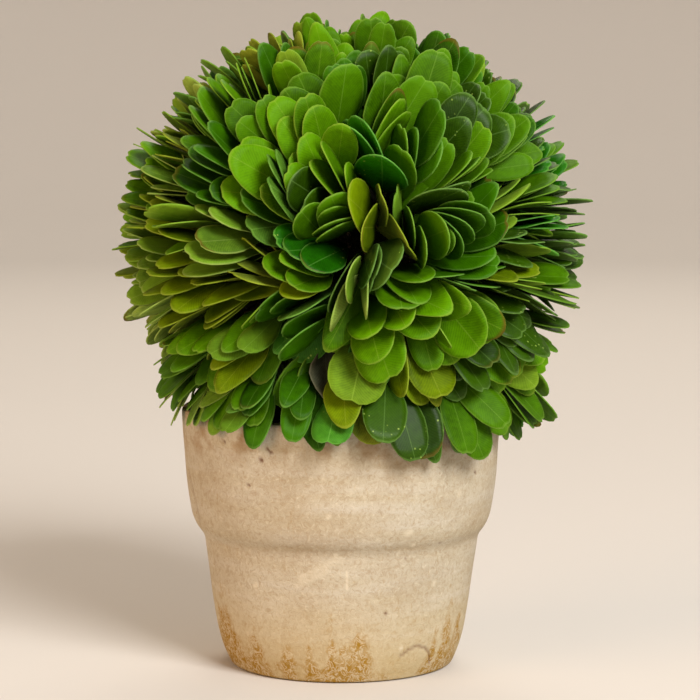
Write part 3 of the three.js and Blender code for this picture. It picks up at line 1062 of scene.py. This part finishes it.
@dataclass
class Clipping:
    """The ball's sizes in millimetres, the spread of its sprigs, and the leaves along each."""

    centre: Vector = field(default_factory=lambda: Vector((2.8, 0.0, 133.5)) * MM)
    core_radius: float = 41.0
    reach: float = 72.6
    top_draw: float = 6.0
    # Down towards the skirt it reaches further on the right than on the left.
    skirt_drop: float = 5.5
    skirt_drop_aside: float = 7.0
    reach_spread: float = 4.8
    longest: float = 28.0
    longest_spread: float = 2.0
    ball_sprigs: int = 196
    heart_sprigs: int = 32
    # The innermost stands this far from the whorl's middle, in radians, and the others round it.
    heart_first: float = 0.03
    heart_lean: float = 56.0
    heart_least_lean: float = 0.55
    heart_lean_spread: float = 0.45
    heart_turn_spread: float = 88.0
    heart_pull_spread: float = 60.0
    heart_width: float = 0.46
    skirt_sprigs: int = 56
    sprig_sway: float = 12.0
    skirt_sway: float = 24.0
    lowest_sine: float = -0.56
    sine_spread: float = 0.03
    azimuth_spread: float = 0.14
    skirt_azimuth_spread: float = 0.05
    # The leaves lean away from the middles of two whorls, one that faces the show side and one behind it.
    whorl: Vector = field(default_factory=lambda: Vector((0.17, -0.985, -0.01)).normalized())
    # Between these angles from the whorl's middle, in radians, a sprig comes to stand beside it.
    beside_from: float = 0.45
    beside_full: float = 1.45
    whorl_lean: float = 46.0
    side_lean: float = 9.0
    full_lean_at: float = 0.14
    turn_spread: float = 26.0
    side_turn_spread: float = 32.0
    top_turn_spread: float = 62.0
    lean_spread: float = 7.0
    least_up_turn: float = 0.84
    # How far each leaf leans, sways and rolls by itself, and how much more freely on each new try.
    leaf_lean_spread: float = 3.5
    leaf_sway_spread: float = 8.0
    leaf_roll_spread: float = 9.0
    wilder_by: float = 0.5
    overturned: float = 0.05
    skirt_sine: float = -0.655
    skirt_longer: float = 10.5
    skirt_longer_aside: float = -2.0
    skirt_droop: float = 24.0
    skirt_droop_aside: float = 11.0
    skirt_turn_spread: float = 20.0
    skirt_arch: float = -0.3
    skirt_leaf: float = 25.0
    skirt_leaf_aside: float = 7.0
    skirt_leaf_spread: float = 2.5
    leaf_places: tuple[LeafPlace, ...] = (
        LeafPlace(48.5, 0.0, 6.0),
        LeafPlace(47.0, -8.0, -11.0),
        LeafPlace(46.0, 9.0, -10.0),
        LeafPlace(44.5, -17.0, 11.0),
        LeafPlace(43.5, 19.0, 10.0),
        LeafPlace(43.0, -27.0, -4.0),
        LeafPlace(42.5, 29.0, 3.0),
    )
    # The dead leaf on the lower front hangs from the sprig that points most nearly this way.
    dead_way: Vector = field(default_factory=lambda: Vector((-0.12, -0.81, -0.55)).normalized())
    aspect: float = 0.5
    side_aspect: float = 0.38
    heart_aspect: float = 0.55
    aspect_spread: float = 0.08
    # A whole sprig's leaves are narrower or broader, from this share of their width on.
    narrowest: float = 0.88
    broader_by: float = 0.22
    dead_length_share: float = 0.8
    dead_aspect: float = 0.5
    shortest: float = 18.0
    tries: int = 8
    neighbourhood: float = 30.0
    stalk_share: float = 0.3

    def reach_at(self, out: Vector) -> float:
        """Give how far leaf tips reach in a direction, in millimetres."""
        up, down = max(0.0, out.z), max(0.0, -out.z)
        return self.reach - self.top_draw * up * up + (self.skirt_drop + self.skirt_drop_aside * out.x) * down

    def sprigs(self) -> list[Sprig]:
        """List all sprigs, those of the skirt and the heart first, so that they find room."""
        kinds = (
            [SprigKind.SKIRT] * self.skirt_sprigs
            + [SprigKind.HEART] * self.heart_sprigs * 2
            + [SprigKind.BALL] * self.ball_sprigs
        )
        return [self.sprig(number, kind) for number, kind in enumerate(kinds)]

    def outward(self, number: int, kind: SprigKind) -> Vector:
        """Work out which way a sprig's twig points.

        Args:
            number: The sprig's number.
            kind: Where it stands.

        Returns:
            The unit direction from the ball's centre.
        """
        if kind is SprigKind.HEART:
            step, behind = divmod(number - self.skirt_sprigs, 2)
            whorl = -self.whorl if behind else self.whorl
            aside = Quaternion(whorl, step * GOLDEN_ANGLE) @ whorl.cross(UP).normalized()
            angle = self.heart_first + self.heart_width * math.sqrt((step + 0.3) / self.heart_sprigs)
            return (whorl * math.cos(angle) + aside * math.sin(angle)).normalized()
        if kind is SprigKind.SKIRT:
            sine, azimuth = self.skirt_sine, 2 * math.pi * number / self.skirt_sprigs
            azimuth += self.skirt_azimuth_spread * spread(number, SprigDraw.AZIMUTH)
        else:
            step = number - self.skirt_sprigs - 2 * self.heart_sprigs
            sine = 1 - (1 - self.lowest_sine) * (step + 0.5) / self.ball_sprigs
            azimuth = step * GOLDEN_ANGLE + self.azimuth_spread * spread(number, SprigDraw.AZIMUTH)
        sine = min(0.999, sine + self.sine_spread * spread(number, SprigDraw.SINE))
        flat = math.sqrt(1 - sine * sine)
        return Vector((flat * math.cos(azimuth), flat * math.sin(azimuth), sine))

    def sprig(self, number: int, kind: SprigKind) -> Sprig:
        """Work out one sprig.

        Args:
            number: Its number.
            kind: Where it stands.

        Returns:
            The sprig.
        """
        out = self.outward(number, kind)
        rising = (UP - out * UP.dot(out)).normalized()
        whorl = self.whorl if self.whorl.dot(out) >= 0 else -self.whorl
        toward = (whorl - out * whorl.dot(out)).normalized()
        angle = math.acos(min(1.0, whorl.dot(out)))
        beside = float(ease(self.beside_from, self.beside_full, angle))
        sway = self.sprig_sway
        if kind is SprigKind.SKIRT:
            # The ball stands a little to the right of the pot, so that its skirt droops more steeply there.
            lean = math.radians(self.skirt_droop + self.skirt_droop_aside * out.x)
            pull, sway = rising, self.skirt_sway
            turn = math.radians(self.skirt_turn_spread) * spread(number, SprigDraw.TURN)
        elif kind is SprigKind.HEART:
            # The middle ones stand up, and the others lie back more and more.
            outer = min(1.0, angle / self.heart_width)
            back = self.heart_least_lean + self.heart_lean_spread * chance(number, SprigDraw.LYING_BACK)
            lean = math.radians(self.heart_lean * outer * back)
            aside = math.radians(self.heart_pull_spread) * spread(number, SprigDraw.LEAN)
            pull = Quaternion(out, aside) @ toward
            turn = math.radians(self.heart_turn_spread) * spread(number, SprigDraw.TURN)
        else:
            lean = self.whorl_lean * (1 - beside) + self.side_lean * beside
            lean += self.lean_spread * spread(number, SprigDraw.LEAN)
            lean = math.radians(lean) * float(ease(0.0, self.full_lean_at, angle))
            pull, turn = toward, self.turn_of(number, out, toward, rising, lean)
            above = toward.dot(rising) ** 2
            loose = self.top_turn_spread * above + self.side_turn_spread * (1 - above)
            loose = math.radians(self.turn_spread * (1 - beside) + loose * beside)
            turn += loose * spread(number, SprigDraw.TURN)
        along = (out * math.cos(lean) - pull * math.sin(lean)).normalized()
        facing = Quaternion(along, turn) @ (pull * math.cos(lean) + out * math.sin(lean)).normalized()
        along = Quaternion(facing, math.radians(sway) * spread(number, SprigDraw.SWAY)) @ along
        return Sprig(number, kind, out, along, facing, beside)

    def turn_of(self, number: int, out: Vector, toward: Vector, rising: Vector, lean: float) -> float:
        """Turn a sprig's leaves about their length: beside the whorl their faces turn up to the light.

        Args:
            number: The sprig's number.
            out: The way its twig points.
            toward: The way to the whorl's middle.
            rising: The way up along the ball.
            lean: How far the leaves lean.

        Returns:
            The turn in radians.
        """
        along = out * math.cos(lean) - toward * math.sin(lean)
        faced = toward * math.cos(lean) + out * math.sin(lean)
        up_turn = math.atan2(along.dot(faced.cross(rising)), faced.dot(rising))
        beside = 1 - toward.dot(rising) ** 2
        up_turn = max(-math.pi / 2, min(math.pi / 2, up_turn))
        rest = 1 - self.least_up_turn
        return up_turn * beside**1.5 * (self.least_up_turn + rest * chance(number, SprigDraw.UP_TURN))


# ---- Leaves ----


@dataclass(frozen=True)
class LeafCut:
    """One outline of box leaf, 1 long and 1 wide, from its short stalk to its blunt or notched tip."""

    widest_at: float
    notch: float
    shoulder: float = 0.12
    base_width: float = 0.42
    thickness: float = 0.34
    notch_sharpness: float = 3.6
    notch_from: float = 0.8
    columns: int = 6
    rows: int = 6

    def pressed(self, across: np.ndarray, along: np.ndarray) -> np.ndarray:
        """Press points of a square, from -1 to 1 each way, into the flat leaf.

        Args:
            across: Their places across it.
            along: Their places along it.

        Returns:
            The leaf's corners, with the stalk's end at the origin.
        """
        round_across = across * np.sqrt(1 - along**2 / 2)
        round_along = along * np.sqrt(1 - across**2 / 2)
        share = np.clip((round_along + 1) / 2, 0, 1) ** (math.log(self.widest_at) / math.log(0.5))
        width = self.base_width + (1 - self.base_width) * ease(0.0, self.widest_at, share)
        width = width * (1 + self.shoulder * ease(self.widest_at, 1.0, share))
        notch = self.notch * np.maximum(0, 1 - np.abs(round_across) * self.notch_sharpness)
        share = share - notch * ease(self.notch_from, 1.0, share)
        return np.stack([0.5 * round_across * width, share, np.zeros(share.shape)], axis=-1).reshape(-1, 3)

    def model(self, name: str) -> bpy.types.Object:
        """Cut the leaf from a grid and give it its thickness.

        Args:
            name: The leaf's name.

        Returns:
            The leaf, with slots 0 for its upper face, 1 for its under face and 2 for its edge.
        """
        deselect_all()
        bpy.ops.mesh.primitive_grid_add(
            x_subdivisions=self.columns, y_subdivisions=self.rows, size=1, calc_uvs=True
        )
        leaf = bpy.context.object
        leaf.name = name
        mesh = leaf.data
        mesh.uv_layers[0].name = "blade"
        square = corners_of(mesh) * 2
        set_corners(mesh, self.pressed(square[:, 0], square[:, 1]))
        for part in ("upper", "under", "edge"):
            name = f"cut_{part}"
            mesh.materials.append(bpy.data.materials.get(name) or bpy.data.materials.new(name))
        solid = leaf.modifiers.new("thickness", "SOLIDIFY")
        solid.thickness = self.thickness * MM
        solid.offset = 0
        solid.material_offset = 1
        solid.material_offset_rim = EDGE_SLOT
        bpy.ops.object.modifier_apply(modifier=solid.name)
        return leaf


@dataclass(frozen=True)
class LeafCopy:
    """The arrays of a modelled leaf, ready to be copied."""

    corners: np.ndarray
    quads: np.ndarray
    slots: np.ndarray
    blade: np.ndarray

    @classmethod
    def of(cls, leaf: bpy.types.Object) -> "LeafCopy":
        """Read the arrays of a modelled leaf, and remove it."""
        mesh = leaf.data
        blade = np.zeros(len(mesh.loops) * 2)
        mesh.uv_layers["blade"].data.foreach_get("uv", blade)
        copy = cls(
            corners_of(mesh),
            np.array([list(face.vertices) for face in mesh.polygons]),
            np.array([face.material_index for face in mesh.polygons]),
            blade.reshape(-1, 2),
        )
        bpy.data.objects.remove(leaf)
        bpy.data.meshes.remove(mesh)
        return copy


@dataclass(frozen=True)
class Bend:
    """How a leaf is bent: folded along its rib, cupped, arched, twisted, and waved along its edge."""

    fold: float
    cup: float
    arch: float
    twist: float
    wave: float
    phase: float

    def applied(self, flat: np.ndarray, length: float, width: float) -> np.ndarray:
        """Bend a flat leaf into its real size.

        Args:
            flat: Its corners, across and along in shares of its width and length, and off it in metres.
            length: Its length in metres.
            width: Its width in metres.

        Returns:
            The bent corners in metres: across, along and off the leaf.
        """
        across, along, share = flat[:, 0] * width, flat[:, 1] * length, flat[:, 1]
        lift = np.abs(across) * self.fold * (1 - 0.4 * share) + self.cup * across**2 / width
        lift = lift + self.wave * width * (2 * flat[:, 0]) ** 2 * np.sin(3 * math.pi * share + self.phase)
        angle = self.twist * share
        aside = across * np.cos(angle) - lift * np.sin(angle)
        raised = across * np.sin(angle) + lift * np.cos(angle)
        arch = self.arch * share
        return np.stack(
            [
                aside,
                along * (1 - arch**2 / 6) - raised * np.sin(arch),
                raised * np.cos(arch) + along * arch / 2 + flat[:, 2],
            ],
            axis=1,
        )


@dataclass
class Leaf:
    """A leaf in its place."""

    sprig: int
    root: Vector
    along: Vector
    facing: Vector
    length: float
    width: float
    bend: Bend
    cut: int
    tint: Dye
    strength: float

    def placed(self, flat: np.ndarray) -> np.ndarray:
        """Carry a flat leaf's corners to this leaf's own place."""
        side = self.facing.cross(self.along)
        bent = self.bend.applied(flat, self.length, self.width)
        return bent @ np.array([side, self.along, self.facing]) + np.array(self.root)


@dataclass
class Growth:
    """Grows the leaves along the sprigs, and skips each that finds no room."""

    clipping: Clipping
    pot: Pot
    cuts: int
    leaves: list[Leaf] = field(default_factory=list)
    trees: list[BVHTree] = field(default_factory=list)
    middles: np.ndarray = field(default_factory=lambda: np.zeros((0, 3)))
    dead_sprig: int = -1
    dead_curl: Bend = Bend(fold=0.5, cup=0.4, arch=1.1, twist=0.8, wave=0.1, phase=1.0)
    # How sprigs differ in their leaves' bend, then how each leaf differs from the rest of its sprig.
    fold: float = 0.12
    sprig_fold_spread: float = 0.13
    sprig_cup_spread: float = 0.22
    sprig_arch_spread: float = 0.22
    leaf_fold_spread: float = 0.05
    leaf_arch_spread: float = 0.1
    twist_spread: float = 0.14
    wave_spread: float = 0.012
    phases: float = 6.0
    # This share of the leaves is wavier along its edge.
    wavy_share: float = 0.1
    wavier: float = 0.035
    # How much deeper the tint is at the far right, straight up as painted shade on top, and all over.
    deeper_right: float = 0.36
    painted_shade_up: float = 0.3
    deeper: float = -0.06
    # Sprigs further left and lower than this may have dried brown, and how many of them have.
    browned_left: float = -0.4
    browned_low: float = -0.1
    browned_share: float = 0.12
    # How far leaves keep off the rim's top and the pot's wall, in millimetres.
    rim_air: float = 0.6
    wall_air: float = 0.7
    guard_rows: int = 6
    guard_columns: int = 5

    def leaf(self, sprig: Sprig, place_index: int, attempt: int) -> Leaf:
        """Pose one leaf. Each new try leans, sways and rolls it more freely.

        Args:
            sprig: Its sprig.
            place_index: Its place along the twig.
            attempt: Which try this is.

        Returns:
            The leaf.
        """
        rule = self.clipping
        keys = (sprig.number, place_index, attempt)
        place = rule.leaf_places[place_index]
        wilder = 1 + rule.wilder_by * attempt
        lean = math.radians(place.lean + rule.leaf_lean_spread * wilder * spread(*keys, LeafDraw.LEAN))
        sway = math.radians(place.sway + rule.leaf_sway_spread * wilder * spread(*keys, LeafDraw.SWAY))
        over = 180 if chance(*keys, LeafDraw.OVERTURNED) < rule.overturned else 0
        roll = math.radians(rule.leaf_roll_spread * wilder * spread(*keys, LeafDraw.ROLL) + over)
        side = sprig.facing.cross(sprig.along)
        turn = Quaternion(side, -lean) @ Quaternion(sprig.facing, sway)
        along = (turn @ sprig.along).normalized()
        facing = (Quaternion(along, roll) @ (turn @ sprig.facing)).normalized()
        start = place.start
        reach = rule.reach_at(sprig.out) + rule.reach_spread * spread(*keys, LeafDraw.REACH)
        if sprig.kind is SprigKind.SKIRT:
            start += rule.skirt_longer + rule.skirt_longer_aside * sprig.out.x
            length = rule.skirt_leaf + rule.skirt_leaf_aside * sprig.out.x
            length += rule.skirt_leaf_spread * spread(*keys, LeafDraw.LENGTH)
        else:
            shadow = start * sprig.out.dot(along)
            length = max(rule.shortest, -shadow + math.sqrt(max(0.0, shadow**2 + reach**2 - start**2)))
            length = min(length, rule.longest + rule.longest_spread * spread(*keys, LeafDraw.LENGTH))
        aspect = rule.aspect * (1 - sprig.beside) + rule.side_aspect * sprig.beside
        if sprig.kind is SprigKind.HEART:
            aspect = rule.heart_aspect
        dead = sprig.number == self.dead_sprig and place_index == 0
        if dead:
            length, aspect = rule.dead_length_share * length, rule.dead_aspect
        width = length * (aspect + rule.aspect_spread * spread(*keys, LeafDraw.ASPECT))
        width *= rule.narrowest + rule.broader_by * chance(sprig.number, SprigDraw.WIDTH)
        return Leaf(
            sprig=sprig.number,
            root=rule.centre + sprig.out * start * MM,
            along=along,
            facing=facing,
            length=length * MM,
            width=width * MM,
            bend=self.dead_curl if dead else self.bend(sprig, keys),
            cut=int(chance(*keys, LeafDraw.CUT) * self.cuts),
            tint=Dye.DEAD if dead else self.tint(sprig),
            strength=chance(*keys, LeafDraw.DYE),
        )

    def bend(self, sprig: Sprig, keys: tuple[int, int, int]) -> Bend:
        """Bend a leaf much like the rest of its sprig, so that they nest. Those of the skirt arch down.

        Args:
            sprig: The sprig.
            keys: Its number, the place and the try.

        Returns:
            The bend.
        """
        fold = self.fold + self.sprig_fold_spread * spread(sprig.number, SprigDraw.FOLD)
        arch = self.clipping.skirt_arch if sprig.kind is SprigKind.SKIRT else 0.0
        arch += self.sprig_arch_spread * spread(sprig.number, SprigDraw.ARCH)
        wavier = self.wavier if chance(*keys, LeafDraw.WAVY) < self.wavy_share else 0.0
        return Bend(
            fold=fold + self.leaf_fold_spread * spread(*keys, LeafDraw.FOLD),
            cup=self.sprig_cup_spread * spread(sprig.number, SprigDraw.CUP),
            arch=arch + self.leaf_arch_spread * spread(*keys, LeafDraw.ARCH),
            twist=self.twist_spread * spread(*keys, LeafDraw.TWIST),
            wave=self.wave_spread * spread(*keys, LeafDraw.WAVE) + wavier,
            phase=self.phases * chance(*keys, LeafDraw.PHASE),
        )

    def tint(self, sprig: Sprig) -> Dye:
        """Deal a whole sprig its tint, paler and yellower towards the left, and deeper on top as painted
        shade.

        Args:
            sprig: The sprig.

        Returns:
            The tint. Low on the left a few sprigs have dried brown.
        """
        low_left = sprig.out.x < self.browned_left and sprig.out.z < self.browned_low
        if low_left and chance(sprig.number, SprigDraw.BROWNED) < self.browned_share:
            return Dye.BRONZE
        # The deeper tints on top are painted shade.
        deeper = self.deeper_right * sprig.out.x + self.painted_shade_up * max(0.0, sprig.out.z) + self.deeper
        roll = min(0.999, max(0.0, chance(sprig.number, SprigDraw.TINT) + deeper))
        for dye in Dye:
            roll -= dye.value.share
            if roll < 0:
                return dye
        return Dye.DEEP

    def grow(self) -> list[Leaf]:
        """Grow the leaves place by place along all sprigs, so that every side fills alike.

        Returns:
            The leaves that found room.
        """
        sprigs = self.clipping.sprigs()
        self.dead_sprig = min(sprigs, key=lambda sprig: (sprig.out - self.clipping.dead_way).length).number
        for place_index in range(len(self.clipping.leaf_places)):
            for sprig in sprigs:
                tries = (self.leaf(sprig, place_index, attempt) for attempt in range(self.clipping.tries))
                any(self.keep(leaf) for leaf in tries)
        return self.leaves

    @cached_property
    def guard(self) -> tuple[np.ndarray, list[tuple[int, int, int, int]]]:
        """Lay out the plain blade, without its stalk, that stands for a leaf while it looks for room."""
        rows, columns = self.guard_rows, self.guard_columns
        steps = np.linspace(2 * self.clipping.stalk_share - 1, 1, rows)
        along, across = np.meshgrid(steps, np.linspace(-1, 1, columns), indexing="ij")
        flat = LeafCut(0.62, 0.0).pressed(across, along)
        quads = [
            (r * columns + c, r * columns + c + 1, (r + 1) * columns + c + 1, (r + 1) * columns + c)
            for r in range(rows - 1)
            for c in range(columns - 1)
        ]
        return flat, quads

    def keep(self, leaf: Leaf) -> bool:
        """Keep a leaf if it finds room.

        Args:
            leaf: The leaf.

        Returns:
            Whether it was kept.
        """
        flat, quads = self.guard
        corners = leaf.placed(flat)
        if self.meets_pot(corners):
            return False
        middle = np.array(leaf.root + leaf.along * leaf.length / 2)
        tree = BVHTree.FromPolygons(corners.tolist(), quads)
        away = np.linalg.norm(self.middles - middle, axis=1)
        near = np.flatnonzero(away < self.clipping.neighbourhood * MM)
        if any(self.trees[n].overlap(tree) for n in near):
            return False
        self.trees.append(tree)
        self.middles = np.vstack([self.middles, middle])
        self.leaves.append(leaf)
        return True

    def meets_pot(self, corners: np.ndarray) -> bool:
        """Tell whether a leaf would touch the pot or dip inside its rim."""
        radius = np.hypot(corners[:, 0], corners[:, 1])
        low = corners[:, 2] < (self.pot.rim_height + self.rim_air) * MM
        return bool(np.any(low & (radius < self.pot.radius_at(corners[:, 2]) + self.wall_air * MM)))


@dataclass
class Ball:
    """The dressed ball: its moss core, its twigs with their stalks, and a piece of leaves for each tint."""

    clipping: Clipping
    pot: Pot
    cuts: tuple[LeafCut, ...] = (
        LeafCut(0.58, 0.015, 0.05),
        LeafCut(0.6, 0.0, 0.06),
        LeafCut(0.62, 0.04, 0.1),
        LeafCut(0.53, 0.0, -0.05),
        LeafCut(0.6, 0.025, 0.06),
        LeafCut(0.5, 0.0, -0.2),
    )
    # How strong and how wide the core's lumps are, how far they are sunk, and their share of its radius.
    lumps: tuple[tuple[float, float], ...] = ((1.0, 9.0), (0.6, 2.6))
    lumps_sunk: float = 1.2
    lump_share: float = 0.03
    # Twigs start inside the core, end past their last leaf, and thin from root to tip.
    twig_from: float = 36.0
    twig_past: float = 1.5
    twig_bow: float = 0.35
    twig_radii: tuple[float, float] = (0.95, 0.5)
    twig_points: int = 6
    twig_sides: int = 6
    # Stalks start inside their twig and end this share along the leaf.
    stalk_sunk: float = 3.0
    stalk_to: float = 0.16
    stalk_bow: float = 0.6
    stalk_radii: tuple[float, float] = (0.5, 0.28)
    stalk_points: int = 4
    stalk_sides: int = 4

    def build(self) -> None:
        """Build and dress the core, the twigs and the leaves."""
        self.build_core()
        leaves = Growth(self.clipping, self.pot, len(self.cuts)).grow()
        LOG.info("%d leaves found room", len(leaves))
        self.build_twigs(leaves)
        copies = [LeafCopy.of(cut.model(f"leaf_cut_{index}")) for index, cut in enumerate(self.cuts)]
        for dye in Dye:
            own = [leaf for leaf in leaves if leaf.tint is dye]
            if own:
                self.build_leaves(dye.value, own, copies)

    def build_core(self) -> None:
        """Round the core off in lumps of moss."""
        deselect_all()
        radius = self.clipping.core_radius * MM
        bpy.ops.mesh.primitive_ico_sphere_add(
            subdivisions=6, radius=radius, location=self.clipping.centre, calc_uvs=False
        )
        core = bpy.context.object
        core.name = "moss_core"
        bpy.ops.object.transform_apply(location=True)
        corners = corners_of(core.data)
        centre = np.array(self.clipping.centre)
        lumps = ripples(corners, self.lumps) - self.lumps_sunk
        corners = centre + (corners - centre) * (1 + self.lump_share * lumps)[:, None]
        set_corners(core.data, corners)
        select_only(core)
        bpy.ops.object.shade_smooth()
        core.data.materials.append(DryMoss().material())
        finish_piece(core, Node.BALL)

    def build_twigs(self, leaves: list[Leaf]) -> None:
        """Sweep a twig for each sprig and a fine stalk for each leaf.

        Args:
            leaves: The grown leaves.
        """
        centre = np.array(self.clipping.centre)
        starts, ends, bows = [], [], []
        for number in sorted({leaf.sprig for leaf in leaves}):
            own = [leaf for leaf in leaves if leaf.sprig == number]
            far = max((leaf.root - self.clipping.centre for leaf in own), key=lambda offset: offset.length)
            out = np.array(far.normalized())
            starts.append(centre + out * self.twig_from * MM)
            ends.append(centre + out * (far.length + self.twig_past * MM))
            bows.append(np.array(own[0].facing) * self.twig_bow * MM * spread(number, SprigDraw.TWIG_BOW))
        twig_paths = self.bowed(np.array(starts), np.array(ends), np.array(bows), self.twig_points)
        twig_radii = np.linspace(*self.twig_radii, self.twig_points)[None] * np.ones((len(starts), 1)) * MM
        roots = np.array([leaf.root for leaf in leaves])
        outs = roots - centre
        outs /= np.linalg.norm(outs, axis=1, keepdims=True)
        tips = np.array([leaf.root + leaf.along * leaf.length * self.stalk_to for leaf in leaves])
        sunk, bow = outs * self.stalk_sunk * MM, outs * self.stalk_bow * MM
        stalk_paths = self.bowed(roots - sunk, tips, bow, self.stalk_points)
        stalk_radii = np.linspace(*self.stalk_radii, self.stalk_points)[None] * np.ones((len(leaves), 1)) * MM
        twig_corners, twig_quads = tubes(twig_paths, twig_radii, self.twig_sides)
        stalk_corners, stalk_quads = tubes(stalk_paths, stalk_radii, self.stalk_sides)
        piece = joined_mesh(
            "sprig_twigs",
            np.concatenate([twig_corners, stalk_corners]),
            np.concatenate([twig_quads, stalk_quads + len(twig_corners)]),
            [TwigBark().material()],
            np.zeros(len(twig_quads) + len(stalk_quads)),
            np.ones(len(twig_quads) + len(stalk_quads), bool),
        )
        finish_piece(piece, Node.BALL)

    @staticmethod
    def bowed(starts: np.ndarray, ends: np.ndarray, bows: np.ndarray, points: int) -> np.ndarray:
        """Draw slightly bowed lines.

        Args:
            starts: Where they start.
            ends: Where they end.
            bows: How far their middles stand off.
            points: How many points each gets.

        Returns:
            The points of each line.
        """
        share = np.linspace(0, 1, points)[None, :, None]
        return starts[:, None] * (1 - share) + ends[:, None] * share + bows[:, None] * 4 * share * (1 - share)

    def build_leaves(self, tint: LeafTint, leaves: list[Leaf], copies: list[LeafCopy]) -> None:
        """Join one tint's leaves into a piece and dress it.

        Args:
            tint: The tint.
            leaves: Its leaves.
            copies: The modelled leaves.
        """
        corners, quads, slots, blades, dyes = [], [], [], [], []
        count = 0
        for leaf in leaves:
            copy = copies[leaf.cut]
            corners.append(leaf.placed(copy.corners))
            quads.append(copy.quads + count)
            slots.append(copy.slots)
            blades.append(copy.blade)
            dyes.append(np.tile((leaf.strength, 0.5), (len(copy.blade), 1)))
            count += len(copy.corners)
        piece = joined_mesh(
            f"leaves_{tint.name}",
            np.concatenate(corners),
            np.concatenate(quads),
            tint.materials(),
            np.concatenate(slots),
            np.concatenate(slots) != EDGE_SLOT,
        )
        for name, rows in (("blade", blades), ("dye", dyes)):
            layer = piece.data.uv_layers.new(name=name)
            layer.data.foreach_set("uv", np.concatenate(rows).astype(np.float32).ravel())
        finish_piece(piece, Node.BALL)


# ---- Light, floor and camera ----


@dataclass(frozen=True)
class SoftLight:
    """A square soft light: its place, side and power."""

    name: str
    place: tuple[float, float, float]
    side: float
    watts: float
    colour: str


@dataclass(frozen=True)
class Studio:
    """A plain pale floor, soft light from the front right, and the camera."""

    camera_place: tuple[float, float, float] = (2.7, -900.0, 198.0)
    camera_aim: tuple[float, float, float] = (2.7, 0.0, 98.4)
    focal_mm: float = 148.9
    lights: tuple[SoftLight, ...] = (
        SoftLight("key", (0.8, -1.35, 1.15), 0.8, 50.0, "#f9f8f8"),
        SoftLight("fill", (-1.3, -0.9, 0.5), 1.0, 13.5, "#ffd0a0"),
        SoftLight("back", (0.2, 1.2, 1.4), 0.9, 12.0, "#fff6ea"),
    )
    ambient: str = "#ebe5de"
    ambient_strength: float = 0.36
    light_aim: tuple[float, float, float] = (0.0, 0.0, 0.11)
    sensor_mm: float = 36.0
    clip_end: float = 40.0
    floor_radius: float = 1.6
    floor_sides: int = 96
    sweep_radius: float = 0.8
    wall_height: float = 1.8

    def build(self) -> None:
        """Set up the floor, the lights and the camera."""
        self.build_floor()
        world = bpy.data.worlds.new("studio")
        world.use_nodes = True
        world.node_tree.nodes["Background"].inputs["Color"].default_value = linear(self.ambient)
        world.node_tree.nodes["Background"].inputs["Strength"].default_value = self.ambient_strength
        bpy.context.scene.world = world
        for light in self.lights:
            data = bpy.data.lights.new(light.name, "AREA")
            data.size = light.side
            data.energy = light.watts
            data.color = linear(light.colour)[:3]
            self.hang(bpy.data.objects.new(light.name, data), Vector(light.place), Vector(self.light_aim))
        data = bpy.data.cameras.new("camera")
        data.sensor_width = self.sensor_mm
        data.lens = self.focal_mm
        data.clip_end = self.clip_end
        camera = bpy.data.objects.new("camera", data)
        self.hang(camera, Vector(self.camera_place) * MM, Vector(self.camera_aim) * MM)
        bpy.context.scene.camera = camera
        bpy.context.scene.view_settings.view_transform = "Standard"

    def build_floor(self) -> None:
        """Lay the paper as a round floor that sweeps up to a low wall all round."""
        floor = round_plate("floor", self.floor_radius, 0.0, self.floor_sides)
        rings = [(self.floor_radius, 0.0)]
        for turn in np.radians(np.arange(15, 91, 15)):
            radius = self.floor_radius + self.sweep_radius * math.sin(turn)
            rings.append((radius, self.sweep_radius * (1 - math.cos(turn))))
        extrude_rings([*rings, (rings[-1][0], self.wall_height)])
        bpy.ops.object.mode_set(mode="OBJECT")
        bpy.ops.object.shade_smooth_by_angle(angle=math.radians(SHARP_DEGREES))
        floor.data.materials.append(PalePaper().material())

    @staticmethod
    def hang(thing: bpy.types.Object, place: Vector, aim: Vector) -> None:
        """Put a light or a camera in its place and point it.

        Args:
            thing: The light or camera.
            place: Where it stands, in metres.
            aim: What it points at.
        """
        bpy.context.scene.collection.objects.link(thing)
        thing.location = place
        thing.rotation_euler = (aim - place).to_track_quat("-Z", "Y").to_euler()


def main() -> None:
    """Build and dress each sub-assembly in order."""
    logging.basicConfig(level=logging.INFO, format="%(message)s")
    Studio().build()
    pot = Pot()
    pot.build()
    PotFill().build()
    Stem().build()
    Ball(Clipping(), pot).build()


if __name__ == "__main__":
    main()
